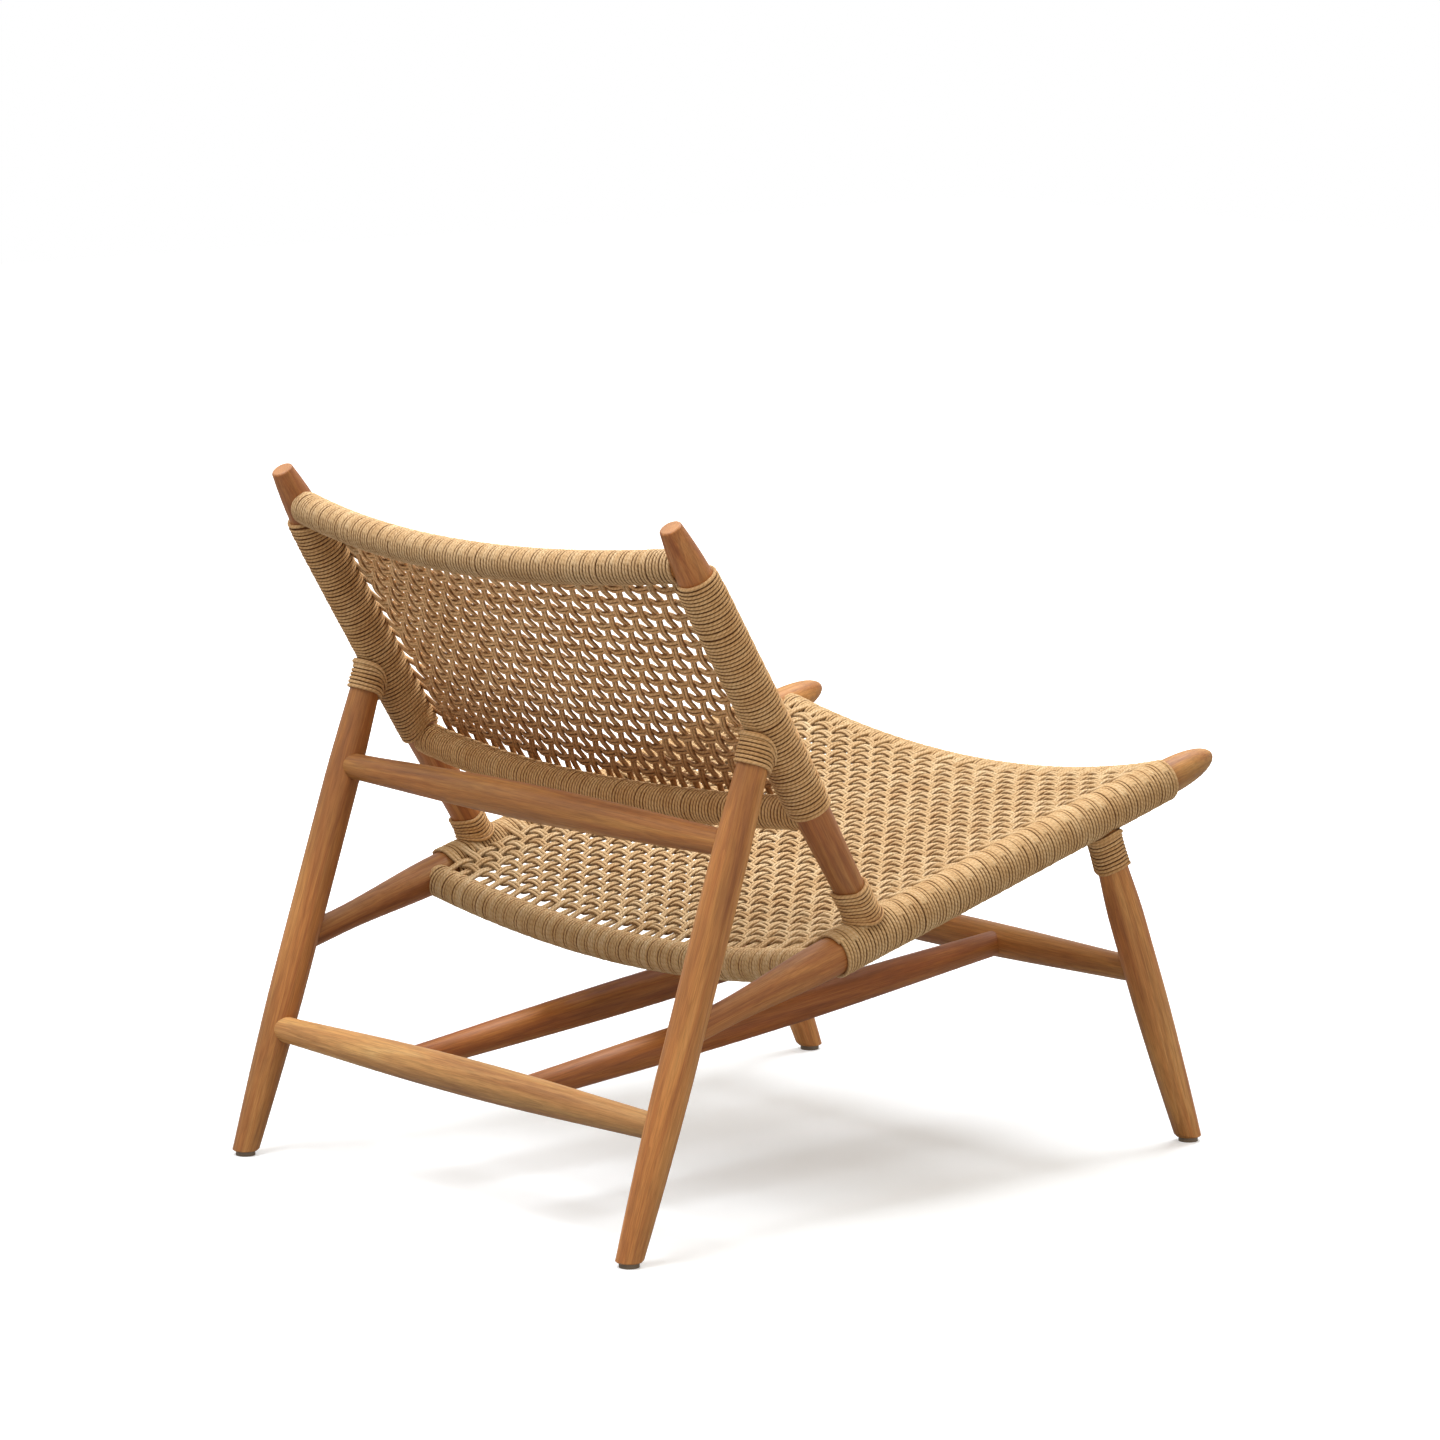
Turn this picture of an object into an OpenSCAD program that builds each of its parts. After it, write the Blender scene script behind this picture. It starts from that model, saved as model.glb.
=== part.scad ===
// Low lounge armchair: a frame of turned hardwood, lashed and woven with paper cord.
// The sitter faces -Y, and the sitter's left is +X. The floor is z = 0 and the origin
// lies on it, midway between the chair's front and back. Lengths are in millimetres.

/* [Seat frame] */
// Height of the side rails' rear joints above the floor
seat_joint_z = 213; // [180:1:250]
// Rise of the side rails towards the front, in degrees
seat_slope = 14.8; // [10:0.1:20]
// Side rail, from its rear joint to its front tip
rail_length = 737; // [600:1:900]
// Distance between the side rails' axes at their rear joints
span_rear = 599; // [480:1:720]
// Distance between the side rails' axes at their front tips
span_front = 590; // [470:1:720]
// Place of the rear seat rail along the side rails
rear_rail_at = 175.5; // [146:0.5:211]
// Place of the back posts along the side rails
post_at = 250; // [225:1:300]
// Place of the front legs along the side rails
front_leg_at = 569; // [475:1:590]
// Place of the front seat rail, back from the side rails' tips
front_rail_inset = 57.5; // [48:0.5:75]
// Dip of the rear seat rail at its middle
rear_rail_dip = 31.5; // [20:0.5:50]
// Dip of the front seat rail at its middle
front_rail_dip = 40; // [20:0.5:55]

/* [Back] */
// Recline of the back posts from upright, in degrees
recline = 31.6; // [26:0.1:37]
// Back post, from the side rail's axis to its top end
post_length = 494.5; // [420:0.5:600]
// Place of the bottom back rail along the posts
bottom_rail_at = 152; // [127:1:182]
// Place of the top back rail, down from the posts' top ends
top_rail_inset = 44.5; // [37:0.5:60]
// Place of the rear legs' heads along the posts
leg_head_at = 268.8; // [224:0.1:322]
// Rearward bow of the bottom back rail at its middle
bottom_rail_bow = 27.5; // [18:0.5:45]
// Rearward bow of the top back rail at its middle
top_rail_bow = 37.5; // [20:0.5:50]

/* [Legs and stretchers] */
// Rake of the front legs from upright, in degrees
front_rake = 22; // [17:0.1:27]
// Distance between the front legs' axes at the floor
front_foot_span = 579; // [470:1:720]
// Height of the upper rear stretcher
upper_stretcher_z = 388; // [323:1:430]
// Height of the lower rear stretcher
lower_stretcher_z = 126.4; // [105:0.1:152]
// Height of the front stretcher
front_stretcher_z = 188.6; // [157:0.1:226]
// Distance between the two long stretchers
long_stretcher_span = 177; // [120:1:240]

/* [Turned sections] */
// Side rail diameter along the seat
rail_d = 38.6; // [34:0.2:44]
// Side rail diameter at its rear joint
rail_end_d = 26.4; // [22:0.2:30]
// Back post diameter at its thickest
post_d = 37.6; // [33:0.2:44]
// Back post diameter at its foot
post_foot_d = 30; // [24:0.2:33]
// Back post diameter at its top end
post_top_d = 22; // [16:0.2:28]
// Rear leg diameter at its thickest
rear_leg_d = 36; // [32:0.2:42]
// Front leg diameter at its thickest
front_leg_d = 36.4; // [32:0.2:42]
// Leg diameter at the head
leg_head_d = 29.4; // [24:0.2:31]
// Leg diameter at the foot
leg_foot_d = 26; // [22:0.2:30]
// Length of the taper at the foot of a leg
foot_taper = 180; // [120:1:220]
// Bent cross rail diameter
cross_rail_d = 26; // [22:0.2:30]
// Rear stretcher diameter at its middle
stretcher_d = 37; // [31:0.2:44]
// Front and long stretcher diameter at their middles
slim_stretcher_d = 36.2; // [30:0.2:43]
// Stretcher diameter at its ends
stretcher_end_d = 26; // [22:0.2:28]
// Round tenon diameter
tenon_d = 16; // [13:0.2:18]
// Depth of a tenon in its mortise
tenon_depth = 15; // [12:0.5:18]

/* [Cord] */
// Cord diameter
cord_d = 4; // [3:0.1:4.8]
// Spacing of the doubled front to back cords of the seat
seat_warp_pitch = 15.7; // [13:0.1:19]
// Spacing of the doubled side to side cords of the seat
seat_weft_pitch = 15.9; // [13.2:0.1:20]
// Spacing of the doubled upright cords of the back
back_warp_pitch = 15.9; // [13.2:0.1:20]
// Spacing of the doubled side to side cords of the back
back_weft_pitch = 16.9; // [14:0.1:21]
// Rise of the seat's middle where its tight side to side cords arch the warps
seat_crown = 13; // [9:0.1:16]
// Rise of the back's middle where its side to side cords arch the warps
back_crown = 8.6; // [6:0.1:11]
// Gap between the outermost warps and the axes of the rails beside them
warp_edge = 28; // [27:0.5:34]
// Start of the cord wrap on the side rails, forward of the rear seat rail
rail_wrap_start = 19.5; // [19:0.5:40]
// End of the cord wrap on the side rails, back from the front seat rail
rail_wrap_end = 13.6; // [13.6:0.2:30]
// Start of the cord wrap on the posts, above the bottom back rail
post_wrap_start = 8; // [4:0.5:20]
// End of the cord wrap on the posts, below the top back rail
post_wrap_end = 12.5; // [12:0.5:40]
// Height of the cord collar at a rear leg's head, from the post's axis
rear_collar = 47; // [44:0.5:60]
// Height of the cord collar at a post's foot, from the rail's axis
post_collar = 59; // [45:0.5:70]
// Height of the cord collar at a front leg's head, from the rail's axis
front_collar = 59.5; // [50:0.5:80]

/* [Glides] */
// Glide disc diameter
glide_d = 20; // [16:0.5:24]
// Glide disc thickness
glide_h = 5; // [4:0.5:8]
// Glide stem diameter
stem_d = 6; // [5:0.5:8]
// Glide stem length in the leg
stem_l = 20; // [12:1:26]

/* [Hidden] */
$fn = 64;
WOOD = "#a5683a";
CORD = "#cdb187";
PLASTIC = "#8d8d8b";

fit = 0.1;          // radial clearance of a tenon, a shoulder or a wrap
seat = 0.05;        // clearance between cords that rest on each other
end_gap = 0.5;      // space left at the bottom of a mortise
warp_room = 1.4;    // room for the warps to slope down past a rail
warp_tail = 9;      // length of a warp past the axis of a cross rail
weft_end = 14;      // height of a weft's ends over the axes of the rails beside it

// Directions of the two woven surfaces and their frames
rail_dir = [0, -cos(seat_slope), sin(seat_slope)];
seat_up = [0, sin(seat_slope), cos(seat_slope)];
post_dir = [0, sin(recline), cos(recline)];
back_up = [0, -cos(recline), sin(recline)];

// The rear leg runs through the rail's rear joint and its own joint on the post
leg_rise = post_at*sin(seat_slope) + leg_head_at*cos(recline);
leg_run = post_at*cos(seat_slope) - leg_head_at*sin(recline);
foot_back = seat_joint_z*leg_run/leg_rise + leg_foot_d/2;
joint_y = (rail_length*cos(seat_slope) - foot_back)/2;

front_rail_at = rail_length - front_rail_inset;
top_rail_at = post_length - top_rail_inset;

// Half the distance between the side rails' axes at s, and points on the axes
function half(s) = span_rear/2 - (span_rear - span_front)/2*s/rail_length;
function rail_mid(s) = [0, joint_y, seat_joint_z] + s*rail_dir;
function rail_pt(s) = rail_mid(s) + [half(s), 0, 0];
post_x = half(post_at);
function post_mid(t) = rail_mid(post_at) + t*post_dir;
function post_pt(t) = post_mid(t) + [post_x, 0, 0];

// The point at height z on the line from a to b
function at_height(a, b, z) = a + (b - a)*(z - a[2])/(b[2] - a[2]);

rear_head = post_pt(leg_head_at);
rear_foot = at_height(rear_head, rail_pt(0), 0);
front_head = rail_pt(front_leg_at);
front_foot = [front_foot_span/2, front_head[1] - front_head[2]*tan(front_rake), 0];
rear_leg_l = norm(rear_head - rear_foot);
front_leg_l = norm(front_head - front_foot);

function rear_at(z) = at_height(rear_foot, rear_head, z);
function front_at(z) = at_height(front_foot, front_head, z);
function rear_t(z) = norm(rear_at(z) - rear_foot);
function front_t(z) = norm(front_at(z) - front_foot);
function long_pt(p) = [long_stretcher_span/2, p[1], p[2]];

// Distance from a rod's axis to its surface, along another rod's axis
function reach(r, u, v) = r*norm(u)*norm(v)/norm(cross(u, v));

// Radii of the turned pieces at a place along their axes
function ease(x) = let (u = min(max(x, 0), 1)) u*u*(3 - 2*u);
rail_tip = 87;
rail_waist = 140;
rail_r = function (s)
    s > rail_length - rail_tip
        ? (rail_d/2 - 0.8)*sqrt(max(0, 1 - pow((s - rail_length + rail_tip)/rail_tip, 3)))
        : rail_d/2 - (rail_d - rail_end_d)/2*ease((rear_rail_at + 14.5 - s)/rail_waist)
            - 0.8*ease((s - rail_length + 337)/250);
post_r = function (t)
    t > top_rail_at - 50
        ? post_d/2 - (post_d - post_top_d)/2*pow((t - top_rail_at + 50)/(top_rail_inset + 50), 2)
        : post_d/2 - (post_d - post_foot_d)/2*ease((200 - t)/176);
function leg_r(d, t, l, from, to) =
    d/2 - (d - leg_foot_d)/2*pow(max(0, 1 - max(t, 0)/foot_taper), 1.5)
        - (d - leg_head_d)/2*ease((t - l + from)/(from - to));
rear_leg_r = function (t) leg_r(rear_leg_d, t, rear_leg_l, 150, 5);
front_leg_r = function (t) leg_r(front_leg_d, t, front_leg_l, 125, 35);
function barrel(mid_d, l) = function (t)
    stretcher_end_d/2 + (mid_d - stretcher_end_d)/2*pow(sin(180*min(max(t/l, 0), 1)), 1.3);

// Points of a turned profile from a to b
function profile(f, a, b, n, grow = 0) =
    [for (i = [0:n]) let (t = a + (b - a)*i/n) [f(t) + grow, t]];

// Radius of a cross rail bent by b over the half chord c, and the height over its chord
// of the line that runs up above its axis
function bend(c, b) = (c*c + b*b)/(2*b);
function bent_height(c, b, x, up) = bend(c, b) - b - sqrt(pow(bend(c, b) - up, 2) - x*x);

// Height of a weave's middle surface over the axes of its cross rails, which its warps
// cross at a slope
weave_up = 1.012*(cross_rail_d/2 + cord_d/2) + seat;
seat_half = half(front_rail_at);

module along(a, b) {
    d = b - a;
    translate(a) rotate([0, acos(d[2]/norm(d)), atan2(d[1], d[0])]) children();
}

module turned(p) {
    last = p[len(p) - 1];
    rotate_extrude() polygon(concat([[0, p[0][1]]], p, last[0] > 0 ? [[0, last[1]]] : []));
}

// Cord wound close on a turned piece, drawn as a sleeve
module sleeve(f, a, b, n)
    rotate_extrude() polygon(concat(profile(f, a, b, n, cord_d),
        [for (i = [n:-1:0]) let (t = a + (b - a)*i/n) [f(t) + fit, t]]));

module both() {
    children();
    mirror([1, 0, 0]) children();
}

// Round tenon at the end a of a rod that runs to b, r from the parent's axis to its surface
module tenon(a, b, r)
    along(a, b) translate([0, 0, r - tenon_depth]) cylinder(d = tenon_d, h = tenon_depth + 12);

module mortise(a, b, r)
    along(a, b) translate([0, 0, r - tenon_depth - end_gap])
        cylinder(d = tenon_d + 2*fit, h = tenon_depth + end_gap + 30);

// Frames along the pieces of the left side, with z as the place along each
module on_rail() along(rail_pt(0), rail_pt(rail_length)) children();
module on_post() along(post_pt(0), post_pt(post_length)) children();
module on_rear_leg() along(rear_foot, rear_head) children();
module on_front_leg() along(front_foot, front_head) children();

// Short lengths of the pieces, grown a little, that cut shoulders to fit round them
module rail_cut(s, grow) on_rail() turned(profile(rail_r, s - 42, min(s + 42, rail_length), 14, grow));
module post_cut(t, grow, ends = 44)
    on_post() turned(profile(post_r, t - ends, min(t + ends, post_length + 20), round(ends/4), grow));
module rear_leg_cut(t, grow) on_rear_leg() turned(profile(rear_leg_r, t - 40, t + 40, 8, grow));
module front_leg_cut(t, grow) on_front_leg() turned(profile(front_leg_r, t - 40, t + 40, 8, grow));

// The planes of the bent cross rails: x across the chair, y up from the weave
module across_seat(s) translate(rail_mid(s)) rotate([90 - seat_slope, 0, 0]) children();
module across_back(t) translate(post_mid(t)) rotate([180 - recline, 0, 0]) children();

// A section swept along the bend of a cross rail
module bent(c, b) {
    r = bend(c, b);
    a = asin(c/r);
    translate([0, r - b, 0]) rotate([0, 0, -90 - a])
        rotate_extrude(angle = 2*a, $fn = 360) translate([r, 0]) children();
}

module bent_end(c, b, r) {
    a = asin(c/bend(c, b));
    tenon([c, 0, 0], [c - cos(a), -sin(a), 0], r);
}

module bent_mortise(c, b, r) {
    a = asin(c/bend(c, b));
    mortise([c, 0, 0], [c - cos(a), -sin(a), 0], r);
}

module bent_bore(c, b) {
    a = asin(c/bend(c, b));
    along([c, 0, 0], [c - cos(a), -sin(a), 0]) cylinder(d = cross_rail_d + 2*fit, h = 60);
}

// Cord wound on a cross rail, open above where the warps of the weave lie on the wood
module bent_sleeve(c, b)
    bent(c, b) difference() {
        circle(d = cross_rail_d + 2*cord_d);
        circle(d = cross_rail_d + 2*fit);
        translate([-cross_rail_d, -cross_rail_d]) square([cross_rail_d/2 + warp_room, 2*cross_rail_d]);
    }

// Foot of a leg, cut level over its glide, with its edge broken
module level_foot(foot, head, d) {
    p = at_height(foot, head, glide_h);
    intersection() {
        children();
        translate(p) cylinder(r1 = d/2 - 0.6, r2 = d/2 - 0.6 + 900, h = 900);
    }
}

module stem_hole(foot, head)
    along(at_height(foot, head, glide_h), head) translate([0, 0, -3])
        cylinder(d = stem_d + 2*fit, h = stem_l + 4);

module glide(foot, head) {
    p = at_height(foot, head, glide_h);
    union() {
        translate([p[0], p[1], 0]) cylinder(d = glide_d, h = glide_h - seat);
        along(at_height(foot, head, glide_h/2), head) cylinder(d = stem_d, h = stem_l);
    }
}

// Stretcher between two points on the axes of its parents
module stretcher(a, b, mid_d) along(a, b) turned(profile(barrel(mid_d, norm(b - a)), 0, norm(b - a), 28));

module rear_leg_left() color(WOOD) {
    upper = rear_at(upper_stretcher_z);
    lower = rear_at(lower_stretcher_z);
    difference() {
        level_foot(rear_foot, rear_head, leg_foot_d) union() {
            difference() {
                on_rear_leg() turned(profile(rear_leg_r, -20, rear_leg_l, 36));
                post_cut(leg_head_at, fit);
            }
            tenon(rear_head, rear_foot, reach(post_r(leg_head_at), post_dir, rear_head - rear_foot));
        }
        stem_hole(rear_foot, rear_head);
        mortise(rail_pt(0), rail_pt(100),
                reach(rear_leg_r(rear_t(seat_joint_z)), rail_dir, rear_head - rear_foot));
        mortise(upper, upper - [1, 0, 0], rear_leg_r(rear_t(upper_stretcher_z)));
        mortise(lower, lower - [1, 0, 0], rear_leg_r(rear_t(lower_stretcher_z)));
    }
}

module rear_leg_right() mirror([1, 0, 0]) rear_leg_left();

module front_leg_left() color(WOOD) {
    cross = front_at(front_stretcher_z);
    difference() {
        level_foot(front_foot, front_head, leg_foot_d) union() {
            difference() {
                on_front_leg() turned(profile(front_leg_r, -20, front_leg_l, 32));
                rail_cut(front_leg_at, fit);
            }
            tenon(front_head, front_foot, reach(rail_r(front_leg_at), rail_dir, front_head - front_foot));
        }
        stem_hole(front_foot, front_head);
        mortise(cross, cross - [1, 0, 0], front_leg_r(front_t(front_stretcher_z)));
    }
}

module front_leg_right() mirror([1, 0, 0]) front_leg_left();

module back_post_left() color(WOOD) {
    edge = 1.5;
    difference() {
        union() {
            difference() {
                on_post() turned(concat(profile(post_r, 0, post_length - edge, 34),
                    [[post_top_d/2 - 0.3*edge, post_length - 0.4*edge], [post_top_d/2 - edge, post_length]]));
                rail_cut(post_at, fit);
            }
            tenon(post_pt(0), post_pt(100), reach(rail_r(post_at), rail_dir, post_dir));
        }
        mortise(rear_head, rear_foot, reach(post_r(leg_head_at), post_dir, rear_head - rear_foot));
        across_back(bottom_rail_at) bent_mortise(post_x, bottom_rail_bow, post_r(bottom_rail_at));
        across_back(top_rail_at) bent_mortise(post_x, top_rail_bow, post_r(top_rail_at));
    }
}

module back_post_right() mirror([1, 0, 0]) back_post_left();

module side_rail_left() color(WOOD) {
    a = profile(rail_r, 0, rear_rail_at + 14.5, 16);
    b = profile(rail_r, rear_rail_at + 30, rail_length - rail_tip, 10);
    c = [for (i = [1:12]) let (s = rail_length - rail_tip*(1 - sin(90*i/12)))
            [i < 12 ? rail_r(s) : 0, s]];
    difference() {
        union() {
            difference() {
                on_rail() turned(concat(a, b, c));
                rear_leg_cut(rear_t(seat_joint_z), fit);
            }
            tenon(rail_pt(0), rail_pt(100),
                  reach(rear_leg_r(rear_t(seat_joint_z)), rail_dir, rear_head - rear_foot));
        }
        mortise(post_pt(0), post_pt(100), reach(rail_r(post_at), rail_dir, post_dir));
        mortise(front_head, front_foot, reach(rail_r(front_leg_at), rail_dir, front_head - front_foot));
        across_seat(rear_rail_at) bent_mortise(half(rear_rail_at), rear_rail_dip, rail_r(rear_rail_at));
        across_seat(front_rail_at) bent_mortise(seat_half, front_rail_dip, rail_r(front_rail_at));
    }
}

module side_rail_right() mirror([1, 0, 0]) side_rail_left();

module seat_cross_rail(s, dip) {
    c = half(s);
    difference() {
        across_seat(s) bent(c, dip) circle(d = cross_rail_d);
        both() rail_cut(s, fit);
    }
    both() across_seat(s) bent_end(c, dip, rail_r(s));
}

module back_cross_rail(t, bow) {
    difference() {
        across_back(t) bent(post_x, bow) circle(d = cross_rail_d);
        both() post_cut(t, fit);
    }
    both() across_back(t) bent_end(post_x, bow, post_r(t));
}

module seat_rear_rail() color(WOOD) seat_cross_rail(rear_rail_at, rear_rail_dip);
module seat_front_rail() color(WOOD) seat_cross_rail(front_rail_at, front_rail_dip);
module back_bottom_rail() color(WOOD) back_cross_rail(bottom_rail_at, bottom_rail_bow);
module back_top_rail() color(WOOD) back_cross_rail(top_rail_at, top_rail_bow);

module rear_stretcher(z) {
    a = rear_at(z);
    difference() {
        stretcher(a, [-a[0], a[1], a[2]], stretcher_d);
        both() rear_leg_cut(rear_t(z), fit);
    }
    both() tenon(a, a - [1, 0, 0], rear_leg_r(rear_t(z)));
}

// Place along a stretcher of half length h where a long stretcher joins it
function branch(h) = h - long_stretcher_span/2;
lower_half = rear_at(lower_stretcher_z)[0];
front_half = front_at(front_stretcher_z)[0];
lower_r = barrel(stretcher_d, 2*lower_half)(branch(lower_half));
front_r = barrel(slim_stretcher_d, 2*front_half)(branch(front_half));
long_front = long_pt(front_at(front_stretcher_z));
long_rear = long_pt(rear_at(lower_stretcher_z));

module rear_stretcher_upper() color(WOOD) rear_stretcher(upper_stretcher_z);

module rear_stretcher_lower() color(WOOD) difference() {
    rear_stretcher(lower_stretcher_z);
    both() mortise(long_rear, long_front, lower_r);
}

module front_stretcher() color(WOOD) {
    a = front_at(front_stretcher_z);
    difference() {
        union() {
            difference() {
                stretcher(a, [-a[0], a[1], a[2]], slim_stretcher_d);
                both() front_leg_cut(front_t(front_stretcher_z), fit);
            }
            both() tenon(a, a - [1, 0, 0], front_leg_r(front_t(front_stretcher_z)));
        }
        both() mortise(long_front, long_rear, front_r);
    }
}

// The part of a stretcher that a long stretcher's shoulder fits round
module branch_cut(p, f, h)
    translate([p[0] - 30, p[1], p[2]]) rotate([0, 90, 0])
        rotate_extrude() polygon(concat([[0, 0]],
            [for (i = [0:6]) [f(branch(h) + 30 - 10*i) + fit, 10*i]], [[0, 60]]));

module long_stretcher_left() color(WOOD) {
    difference() {
        stretcher(long_front, long_rear, slim_stretcher_d);
        branch_cut(long_front, barrel(slim_stretcher_d, 2*front_half), front_half);
        branch_cut(long_rear, barrel(stretcher_d, 2*lower_half), lower_half);
    }
    tenon(long_front, long_rear, front_r);
    tenon(long_rear, long_front, lower_r);
}

module long_stretcher_right() mirror([1, 0, 0]) long_stretcher_left();

module glide_rear_left() color(PLASTIC) glide(rear_foot, rear_head);
module glide_rear_right() mirror([1, 0, 0]) glide_rear_left();
module glide_front_left() color(PLASTIC) glide(front_foot, front_head);
module glide_front_right() mirror([1, 0, 0]) glide_front_left();

// Wrap of the side rail, cut round the post's foot and the front leg's head
module side_rail_wrap_left() color(CORD) difference() {
    on_rail() sleeve(rail_r, rear_rail_at + rail_wrap_start, front_rail_at - rail_wrap_end, 12);
    on_post() turned(profile(post_r, 0, 60, 3, fit));
    on_front_leg() turned(profile(front_leg_r, front_leg_l - 60, front_leg_l, 3, fit));
}

module side_rail_wrap_right() mirror([1, 0, 0]) side_rail_wrap_left();

// Wrap of the post, cut round the rear leg's head and the two back rails
module back_post_wrap_left() color(CORD) difference() {
    on_post() sleeve(post_r, bottom_rail_at + post_wrap_start, top_rail_at - post_wrap_end, 12);
    on_rear_leg() turned(profile(rear_leg_r, rear_leg_l - 70, rear_leg_l, 4, fit));
    across_back(bottom_rail_at) bent_bore(post_x, bottom_rail_bow);
    across_back(top_rail_at) bent_bore(post_x, top_rail_bow);
}

module back_post_wrap_right() mirror([1, 0, 0]) back_post_wrap_left();

// Radius of a wound cross rail
wound = cross_rail_d/2 + cord_d;

// The wound diameter of a side rail or a post where a cross rail's wrap ends against it
module wound_rail(s) on_rail() translate([0, 0, s - 40])
    cylinder(r = rail_r(s - wound) + cord_d + fit, h = 80);

module wound_post(t) on_post() translate([0, 0, t - 40])
    cylinder(r = max(post_r(t - wound), post_r(t + wound)) + cord_d + fit, h = 80);

module seat_wrap(s, dip) difference() {
    across_seat(s) bent_sleeve(half(s), dip);
    both() wound_rail(s);
}

module back_wrap(t, bow) difference() {
    across_back(t) bent_sleeve(post_x, bow);
    both() wound_post(t);
}

module seat_rear_wrap() color(CORD) seat_wrap(rear_rail_at, rear_rail_dip);
module seat_front_wrap() color(CORD) seat_wrap(front_rail_at, front_rail_dip);
module back_bottom_wrap() color(CORD) back_wrap(bottom_rail_at, bottom_rail_bow);
module back_top_wrap() color(CORD) back_wrap(top_rail_at, top_rail_bow);

// Collars of cord that lash the legs and posts where they meet the wrapped pieces
module rear_leg_collar_left() color(CORD) difference() {
    on_rear_leg() sleeve(rear_leg_r, rear_leg_l - rear_collar, rear_leg_l, 6);
    post_cut(leg_head_at, cord_d + fit, 68);
}

module rear_leg_collar_right() mirror([1, 0, 0]) rear_leg_collar_left();

module post_foot_collar_left() color(CORD) difference() {
    on_post() sleeve(post_r, 0, post_collar, 4);
    rail_cut(post_at, cord_d + fit);
}

module post_foot_collar_right() mirror([1, 0, 0]) post_foot_collar_left();

module front_leg_collar_left() color(CORD) difference() {
    on_front_leg() sleeve(front_leg_r, front_leg_l - front_collar, front_leg_l, 6);
    rail_cut(front_leg_at, cord_d + fit);
}

module front_leg_collar_right() mirror([1, 0, 0]) front_leg_collar_left();

// One doubled warp over its cross rails at a and b, arched up between them by rise and
// turned to lie flat on their bend
module warp(a, b, tilt, rise) {
    c = norm(b - a)/2;
    r = bend(c, rise);
    over = c + warp_tail;
    sag = r - sqrt(r*r - over*over);
    along(a, b) translate([0, 0, c]) rotate([-90, 0, 0]) rotate([0, 0, -90])
        translate([0, sag - rise, 0]) bent(over, sag) rotate(-tilt) {
            square([cord_d, cord_d], center = true);
            for (s = [-1, 1]) translate([0, s*cord_d/2]) circle(d = cord_d);
        }
}

// One doubled weft in the plane across its rails. It passes over one warp and under the
// next, clear of their slopes, and rises at each end to the wrap of radius r on the rail
// whose axis is at c
module weft(xs, mids, tilts, slopes, row, c, r) {
    lift = 1.04*cord_d + seat;
    flat = 0.9*cord_d;
    tip = [c - sqrt(pow(r + 0.2, 2) - pow(weft_end - cord_d/2, 2)), weft_end];
    line = concat([[-tip[0], tip[1]]],
        [for (i = [0:len(xs) - 1])
            let (up = lift/cos(tilts[i]) + cord_d*abs(slopes[i]),
                 h = mids[i] + ((i + row) % 2 == 0 ? up : -up), g = flat*tan(tilts[i]))
            each [[xs[i] - flat, h - g], [xs[i] + flat, h + g]]],
        [tip]);
    linear_extrude(2*cord_d, center = true) polygon(concat(
        [for (p = line) p + [0, cord_d/2]],
        [for (i = [len(line) - 1:-1:0]) line[i] - [0, cord_d/2]]));
}

function count(length, pitch) = round(length/pitch) + 1;
function spread(n) = [for (i = [0:n - 1]) 2*i/(n - 1) - 1];

row_inset = cross_rail_d/2 + 2.25*cord_d;
seat_warp_u = spread(count(2*(seat_half - warp_edge), seat_warp_pitch));
back_warp_u = spread(count(2*(post_x - warp_edge), back_warp_pitch));
seat_rows = count(front_rail_at - rear_rail_at - 2*row_inset, seat_weft_pitch);
back_rows = count(top_rail_at - bottom_rail_at - 2*row_inset, back_weft_pitch);

// Height of a weave at k of the way between two cross rails, where its warp lies at
// height h0 and h1, and its slope there over the length l
function arched(h0, h1, rise, k) = h0 + (h1 - h0)*k + 4*rise*k*(1 - k);
function arched_slope(h0, h1, rise, k, l) = (h1 - h0 + 4*rise*(1 - 2*k))/l;

// The seat's surface at s along the side rails and u across, from -1 to 1
seat_l = front_rail_at - rear_rail_at;
function seat_k(s) = (s - rear_rail_at)/seat_l;
function seat_x(s, u) = u*(half(s) - warp_edge);
function seat_rear_h(u) = bent_height(half(rear_rail_at), rear_rail_dip, seat_x(rear_rail_at, u), weave_up);
function seat_front_h(u) = bent_height(seat_half, front_rail_dip, seat_x(front_rail_at, u), weave_up);
function seat_rise(u) = seat_crown*(1 - pow(seat_x(front_rail_at, u)/seat_half, 2));
function seat_h(s, u) = arched(seat_rear_h(u), seat_front_h(u), seat_rise(u), seat_k(s));
function seat_slope_at(s, u) = arched_slope(seat_rear_h(u), seat_front_h(u), seat_rise(u), seat_k(s), seat_l);
function seat_tilt(u) = asin(seat_x(front_rail_at, u)/bend(seat_half, front_rail_dip));

// The back's surface at t along the posts and u across
back_l = top_rail_at - bottom_rail_at;
back_x = post_x - warp_edge;
function back_k(t) = (t - bottom_rail_at)/back_l;
function back_bottom_h(u) = bent_height(post_x, bottom_rail_bow, u*back_x, weave_up);
function back_top_h(u) = bent_height(post_x, top_rail_bow, u*back_x, weave_up);
function back_rise(u) = back_crown*(1 - pow(u*back_x/post_x, 2));
function back_h(t, u) = arched(back_bottom_h(u), back_top_h(u), back_rise(u), back_k(t));
function back_slope_at(t, u) = arched_slope(back_bottom_h(u), back_top_h(u), back_rise(u), back_k(t), back_l);
function back_tilt(u) = asin(u*back_x/bend(post_x, top_rail_bow));

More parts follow.
